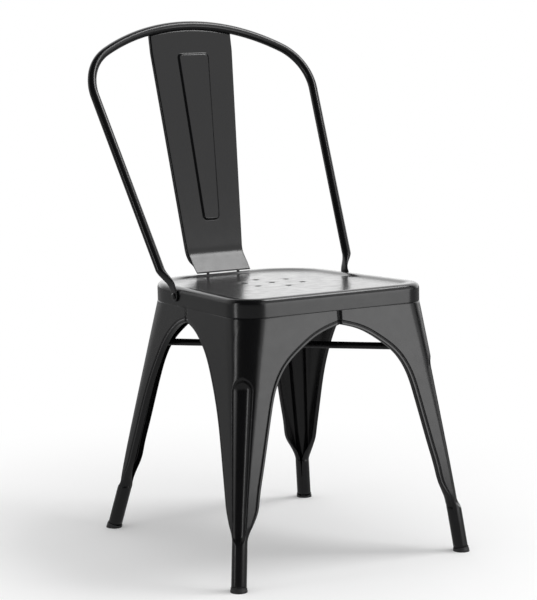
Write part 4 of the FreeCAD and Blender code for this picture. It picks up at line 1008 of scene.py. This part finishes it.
def make_hoop():
    """Rings from the crown down the left arm to its flattened end, then mirrored."""
    path, arm_start, down = hoop_path()
    side = Vector((0.0, 1.0, 0.0))
    rings = []
    for centre, out in path:
        rings.append(hoop_section(centre, out, side, HOOP_RADIUS, HOOP_RADIUS, 1.0))
    turn = HOOP_FRAME.inverted().to_3x3() @ SEAT_FRAME.to_3x3()
    outward = (turn @ skirt_outward()).normalized()
    spot = eye_spot() + skirt_outward() * (PLATE_THICKNESS / 2 + LAP_GAP)
    eye = HOOP_FRAME.inverted() @ (SEAT_FRAME @ spot)
    flat_top = eye + Vector((0.0, 0.0, PLATE_LENGTH))
    bend_z = flat_top.z + BEND_LENGTH
    bend_top = Vector((hoop_arm_x(bend_z), 0.0, bend_z))
    across = Vector((-down.z, 0.0, down.x))
    for share in steps(0.0, 1.0, ARM_STEPS)[1:]:
        rings.append(hoop_section(arm_start.lerp(bend_top, share), across, side,
                                  HOOP_RADIUS, HOOP_RADIUS, 1.0))
    for share in steps(0.0, 1.0, BEND_STEPS)[1:]:
        ease = smooth(share)
        flat = smooth(share * FLATTENING)
        centre = bend_top.lerp(flat_top, share)
        centre.x = bend_top.x + (flat_top.x - bend_top.x) * ease
        way = down.lerp(Vector((0.0, 0.0, -1.0)), share).normalized()
        normal = across.lerp(outward, ease)
        normal = (normal - way * normal.dot(way)).normalized()
        edge = way.cross(normal).normalized() * -1
        rings.append(hoop_section(centre, normal, edge,
                                  HOOP_RADIUS + (PLATE_THICKNESS / 2 - HOOP_RADIUS) * flat,
                                  HOOP_RADIUS + (PLATE_WIDTH / 2 - HOOP_RADIUS) * flat,
                                  1.0 - (1.0 - PLATE_SQUARENESS) * flat))
    along = Vector((0.0, 0.0, -1.0))
    along = (along - outward * along.dot(outward)).normalized()
    edge = along.cross(outward).normalized() * -1
    half = PLATE_WIDTH / 2
    for share in PLATE_ROWS:
        rings.append(hoop_section(flat_top.lerp(eye, share), outward, edge,
                                  PLATE_THICKNESS / 2, half, PLATE_SQUARENESS))
    for angle in steps(0.0, math.pi / 2, TIP_STEPS)[1:]:
        width = max(half * math.cos(angle), PLATE_TIP)
        thick = PLATE_THICKNESS / 2 * min(1.0, PLATE_TIP_SHARE + math.cos(angle))
        rings.append(hoop_section(eye + along * half * math.sin(angle), outward, edge,
                                  thick, width, PLATE_SQUARENESS))
    left = Sheet()
    rows = left.bands(rings, closed=True)
    left.cap(rows[-1])
    whole = Sheet()
    whole.join(left)
    whole.join(left.mirrored())
    whole.turn_over()
    whole.placed(HOOP_FRAME)
    add_piece("back_hoop_tube", whole, PAINT, ["back_hoop"])


# Back splat
def splat_levels():
    """Length of the flat part and the frame of the splat."""
    tip_y = (SEAT_FRAME.inverted() @ Vector((0.0, FOOT_REACH, SEAT_HEIGHT))).y
    tip = SEAT_FRAME @ Vector((0.0, tip_y, 0.0))
    run = FOOT_BEND * (1 - math.cos(FOOT_TURN)) + FOOT_LENGTH * math.sin(FOOT_TURN)
    fall = FOOT_BEND * math.sin(FOOT_TURN) + FOOT_LENGTH * math.cos(FOOT_TURN)
    rise = HOOP_TOP + run * math.sin(SPLAT_LEAN) - tip.z - FOOT_GAP - SHEET
    whole = rise / math.cos(SPLAT_LEAN)
    top_y = tip.y + run * math.cos(SPLAT_LEAN) + whole * math.sin(SPLAT_LEAN)
    return whole - fall, leaning((0.0, top_y, HOOP_TOP), SPLAT_LEAN)


SPLAT_FLAT, SPLAT_FRAME = splat_levels()
SPLAT_LOW = -SPLAT_FLAT - FOOT_BEND - FOOT_LENGTH
FOOT_START = SPLAT_FLAT + FOOT_BEND * FOOT_TURN


def splat_half_width(z):
    top = 4 * HOOP_RADIUS
    taper = (SPLAT_TOP_WIDTH - SPLAT_FOOT_WIDTH) / 2 / -SPLAT_LOW
    half_top = SPLAT_TOP_WIDTH / 2 + taper * (top + 2 * HOOP_RADIUS)
    half_low = SPLAT_FOOT_WIDTH / 2
    return half_low + (half_top - half_low) * (z - SPLAT_LOW) / (top - SPLAT_LOW)


def splat_top(x):
    """Where the sheet ends under the hoop, in the splat frame."""
    fall = math.sqrt(CROWN_RADIUS ** 2 - x * x) - CROWN_RADIUS
    centre = SPLAT_FRAME.inverted() @ (HOOP_FRAME @ Vector((x, 0.0, fall)))
    radius = HOOP_RADIUS + HOOP_CLEARANCE
    depth = min(abs(centre.y - SHEET / 2), radius * HOOP_DEPTH_SHARE)
    return centre.z - math.sqrt(radius ** 2 - depth ** 2)


def splat_path(reach):
    """Front face of the splat at a length from its top: place and way back."""
    if reach < SPLAT_FLAT:
        return Vector((0.0, 0.0, -reach)), Vector((0.0, 1.0, 0.0))
    angle = min((reach - SPLAT_FLAT) / FOOT_BEND, FOOT_TURN)
    further = max(reach - FOOT_START, 0.0)
    c, d = math.cos(angle), math.sin(angle)
    place = Vector((0.0, FOOT_BEND * (c - 1) - further * d,
                    -SPLAT_FLAT - FOOT_BEND * d - further * c))
    return place, Vector((0.0, c, -d))


def panel_half(z):
    share = (PANEL_TOP - z) / PANEL_LENGTH
    return PANEL_TOP_HALF + (PANEL_FOOT_HALF - PANEL_TOP_HALF) * share


def panel_raise(x, z):
    """Height of the raised panel, with soft sides and round corners."""
    lean = math.atan((PANEL_TOP_HALF - PANEL_FOOT_HALF) / PANEL_LENGTH)
    side = (abs(x) - panel_half(z)) * math.cos(lean)
    end = max(z - PANEL_TOP, PANEL_TOP - PANEL_LENGTH - z)
    a, b = side + PANEL_CORNER, end + PANEL_CORNER
    distance = math.hypot(max(a, 0.0), max(b, 0.0)) + min(max(a, b), 0.0) - PANEL_CORNER
    return PANEL_RAISE * smooth(-distance / PANEL_SLOPE)


def splat_row(reach, from_top):
    """One row across the splat; above the panel the row follows the hoop."""
    place, back = splat_path(reach)
    share = smooth((reach - FOOT_START) / FOOT_LENGTH * FOOT_EDGE_SPEED)
    bend = EDGE_BEND + (FOOT_EDGE_BEND - EDGE_BEND) * share
    depth = EDGE_RETURN + (bend + FOOT_EDGE_SPARE - EDGE_RETURN) * share
    half = splat_half_width(place.z)
    line = panel_half(max(place.z, PANEL_TOP - PANEL_LENGTH - 10.0))
    flats = stations((0.0, 0), (line - 3 * PANEL_ZONE, 6), (line + PANEL_ZONE, 12),
                     (half - bend, 12))
    row = []
    for x in flats:
        spot = place.copy()
        if from_top is not None:
            spot.z = splat_top(x) + (PANEL_TOP + PANEL_ZONE - splat_top(x)) * from_top
        row.append(Vector((x, spot.y, spot.z)) - back * panel_raise(x, spot.z))
    last = row[-1].copy()
    for angle in steps(0.0, math.pi / 2, 6)[1:]:
        row.append(last + Vector((bend * math.sin(angle), 0.0, 0.0))
                   + back * (bend * (1 - math.cos(angle))))
    edge = row[-1].copy()
    for more in (0.5, 1.0):
        row.append(edge + back * ((depth - bend) * more))
    if from_top is not None:
        top_z = splat_top(half - bend)
        for i in range(len(flats), len(row)):
            row[i].z = top_z + (PANEL_TOP + PANEL_ZONE - top_z) * from_top
    left = [Vector((-p.x, p.y, p.z)) for p in row[:0:-1]]
    return left + row


def make_splat():
    splat = Sheet()
    high = -PANEL_TOP
    low = high + PANEL_LENGTH
    rows = [splat_row(high - PANEL_ZONE, share) for share in steps(0.0, 1.0, 10)]
    reaches = stations((high - PANEL_ZONE, 0), (high + 4 * PANEL_ZONE, 14),
                       (low - 4 * PANEL_ZONE, 36), (low + PANEL_ZONE, 14), (SPLAT_FLAT, 10),
                       (FOOT_START, 10), (FOOT_START + FOOT_LENGTH, 12))
    rows += [splat_row(reach, None) for reach in reaches[1:]]
    splat.bands(rows)
    splat.turn_over()
    splat.placed(SPLAT_FRAME)
    add_piece("back_splat_pressed", splat, PAINT, ["back_splat"],
              thickness=SHEET)


def make_studs():
    """The two studs welded under the foot of the splat."""
    studs = Sheet()
    tip_y = (SEAT_FRAME.inverted() @ Vector((0.0, FOOT_REACH, SEAT_HEIGHT))).y
    for side in (-1, 1):
        spot = Vector((side * STUD_HALF_SPACING, tip_y + STUD_RADIUS + LAP_GAP, 0.0))
        profile = [(STUD_RADIUS, STUD_TOP), (STUD_RADIUS, STUD_CHAMFER - STUD_LENGTH),
                   (STUD_RADIUS - STUD_CHAMFER, -STUD_LENGTH)]
        rings = [[spot + Vector((math.cos(a) * radius, math.sin(a) * radius, z))
                  for a in steps(0.0, 2 * math.pi, STUD_STEPS)[:-1]] for radius, z in profile]
        rows = studs.bands(rings, closed=True)
        studs.cap(rows[-1])
        studs.cap(reversed(rows[0]))
    studs.turn_over()
    studs.placed(SEAT_FRAME)
    add_piece("splat_foot_studs", studs, PAINT, ["back_splat"])


# Stage: a pale floor that fades to white and is clear from below, and a studio that
# only reflections see
FLOOR_HALF = 14.0
FLOOR_ROUGHNESS = 0.9
FLOOR_COLOUR = (0.94, 0.94, 0.94, 1.0)
FLOOR_FADE = (0.30, 0.95)
WORLD_LIGHT = 0.76

# Bright fields of the studio: direction, stretch in height, edge cosines, radiance
STUDIO_DARK = 0.02
STUDIO_FIELDS = [
    ((0.62, 0.78, 0.16), 0.6, (0.45, 0.80), 1.75),
    ((0.60, -0.79, 0.30), 0.8, (0.80, 0.93), 0.95),
    ((-0.55, 0.83, 0.10), 0.5, (0.80, 0.97), 0.55),
]

# What mirrors see of the floor
FLOOR_MIRRORED = 0.30

# Soft lamps: name, place, aim, width and height, radiance
LAMPS = [
    ("top", (1.25, -0.55, 2.45), (0.0, 0.05, 0.45), (0.85, 0.85), 9.0),
    ("front", (0.86, -1.50, 0.42), (0.0, -0.15, 0.36), (0.95, 0.70), 2.35),
    ("left", (-1.75, 0.05, 0.50), (0.0, 0.0, 0.40), (0.26, 1.00), 3.6),
]


def math_node(tree, operation, first, second):
    node = add_node(tree, "ShaderNodeMath", operation=operation)
    for socket, value in zip(node.inputs, (first, second)):
        if isinstance(value, (int, float)):
            socket.default_value = value
        else:
            tree.links.new(value, socket)
    return node.outputs[0]


def smooth_step(tree, source, low, high):
    node = add_node(tree, "ShaderNodeMapRange", interpolation_type="SMOOTHSTEP")
    node.inputs["From Min"].default_value = low
    node.inputs["From Max"].default_value = high
    tree.links.new(source, node.inputs["Value"])
    return node.outputs["Result"]


def mixed_shader(tree, factor, first, second):
    mix = add_node(tree, "ShaderNodeMixShader")
    for socket, source in zip(mix.inputs, (factor, first.outputs[0], second.outputs[0])):
        tree.links.new(source, socket)
    return mix


def add_floor():
    mesh = bpy.data.meshes.new("floor")
    half = FLOOR_HALF
    corners = [(-half, -half, 0), (half, -half, 0), (half, half, 0), (-half, half, 0)]
    mesh.from_pydata(corners, [], [(0, 1, 2, 3)])
    floor = bpy.data.objects.new("floor", mesh)
    bpy.context.scene.collection.objects.link(floor)
    material, tree, shader = new_material("floor")
    shader.inputs["Base Color"].default_value = FLOOR_COLOUR
    shader.inputs["Roughness"].default_value = FLOOR_ROUGHNESS
    shader.inputs["Specular IOR Level"].default_value = 0.0
    place = add_node(tree, "ShaderNodeTexCoord")
    reach = add_node(tree, "ShaderNodeVectorMath", operation="LENGTH")
    tree.links.new(place.outputs["Object"], reach.inputs[0])
    far = smooth_step(tree, reach.outputs["Value"], *FLOOR_FADE)
    path = add_node(tree, "ShaderNodeLightPath")
    seen = math_node(tree, "MULTIPLY", far, path.outputs["Is Camera Ray"])
    white = add_node(tree, "ShaderNodeEmission", Strength=1.0)
    dim = add_node(tree, "ShaderNodeEmission", Strength=FLOOR_MIRRORED)
    clear = add_node(tree, "ShaderNodeBsdfTransparent")
    side = add_node(tree, "ShaderNodeNewGeometry")
    look = mixed_shader(tree, seen, shader, white)
    look = mixed_shader(tree, path.outputs["Is Glossy Ray"], look, dim)
    look = mixed_shader(tree, side.outputs["Backfacing"], look, clear)
    tree.links.new(look.outputs[0], tree.nodes["Material Output"].inputs["Surface"])
    floor.data.materials.append(material)


def studio_radiance(tree):
    """Brightness of the studio in each direction."""
    place = add_node(tree, "ShaderNodeTexCoord")
    total = None
    for direction, stretch, edges, radiance in STUDIO_FIELDS:
        squash = add_node(tree, "ShaderNodeVectorMath", operation="MULTIPLY")
        squash.inputs[1].default_value = (1.0, 1.0, stretch)
        tree.links.new(place.outputs["Generated"], squash.inputs[0])
        unit = add_node(tree, "ShaderNodeVectorMath", operation="NORMALIZE")
        tree.links.new(squash.outputs["Vector"], unit.inputs[0])
        dot = add_node(tree, "ShaderNodeVectorMath", operation="DOT_PRODUCT")
        aim = Vector((direction[0], direction[1], direction[2] * stretch)).normalized()
        dot.inputs[1].default_value = aim
        tree.links.new(unit.outputs["Vector"], dot.inputs[0])
        field = smooth_step(tree, dot.outputs["Value"], *edges)
        field = math_node(tree, "MULTIPLY", field, radiance)
        total = field if total is None else math_node(tree, "MAXIMUM", total, field)
    return math_node(tree, "ADD", total, STUDIO_DARK)


def add_world():
    world = bpy.data.worlds.new("world")
    bpy.context.scene.world = world
    world.use_nodes = True
    world.cycles.sampling_method = "NONE"
    tree = world.node_tree
    background = tree.nodes["Background"]
    background.inputs["Color"].default_value = (1.0, 1.0, 1.0, 1.0)
    path = add_node(tree, "ShaderNodeLightPath")
    plain = math_node(tree, "SUBTRACT", 1.0, path.outputs["Is Camera Ray"])
    plain = math_node(tree, "MULTIPLY", plain, WORLD_LIGHT - 1.0)
    plain = math_node(tree, "ADD", plain, 1.0)
    mirror = math_node(tree, "SUBTRACT", studio_radiance(tree), plain)
    mirror = math_node(tree, "MULTIPLY", mirror, path.outputs["Is Glossy Ray"])
    tree.links.new(math_node(tree, "ADD", plain, mirror), background.inputs["Strength"])


def add_lamps():
    for name, place, aim, size, radiance in LAMPS:
        data = bpy.data.lights.new(name + "_lamp", "AREA")
        data.shape = "RECTANGLE"
        data.size, data.size_y = size
        data.energy = radiance * math.pi * size[0] * size[1]
        lamp = bpy.data.objects.new(name + "_lamp", data)
        lamp.location = place
        lamp.rotation_euler = (Vector(aim) - Vector(place)).to_track_quat("-Z", "Y").to_euler()
        lamp.visible_camera = False
        bpy.context.scene.collection.objects.link(lamp)


add_camera()
add_world()
add_lamps()
add_floor()
dress_nodes()
make_seat()
make_leg("front", -1)
make_leg("rear", 1)
make_hoop()
make_splat()
make_studs()
bpy.context.scene.view_settings.view_transform = "Standard"
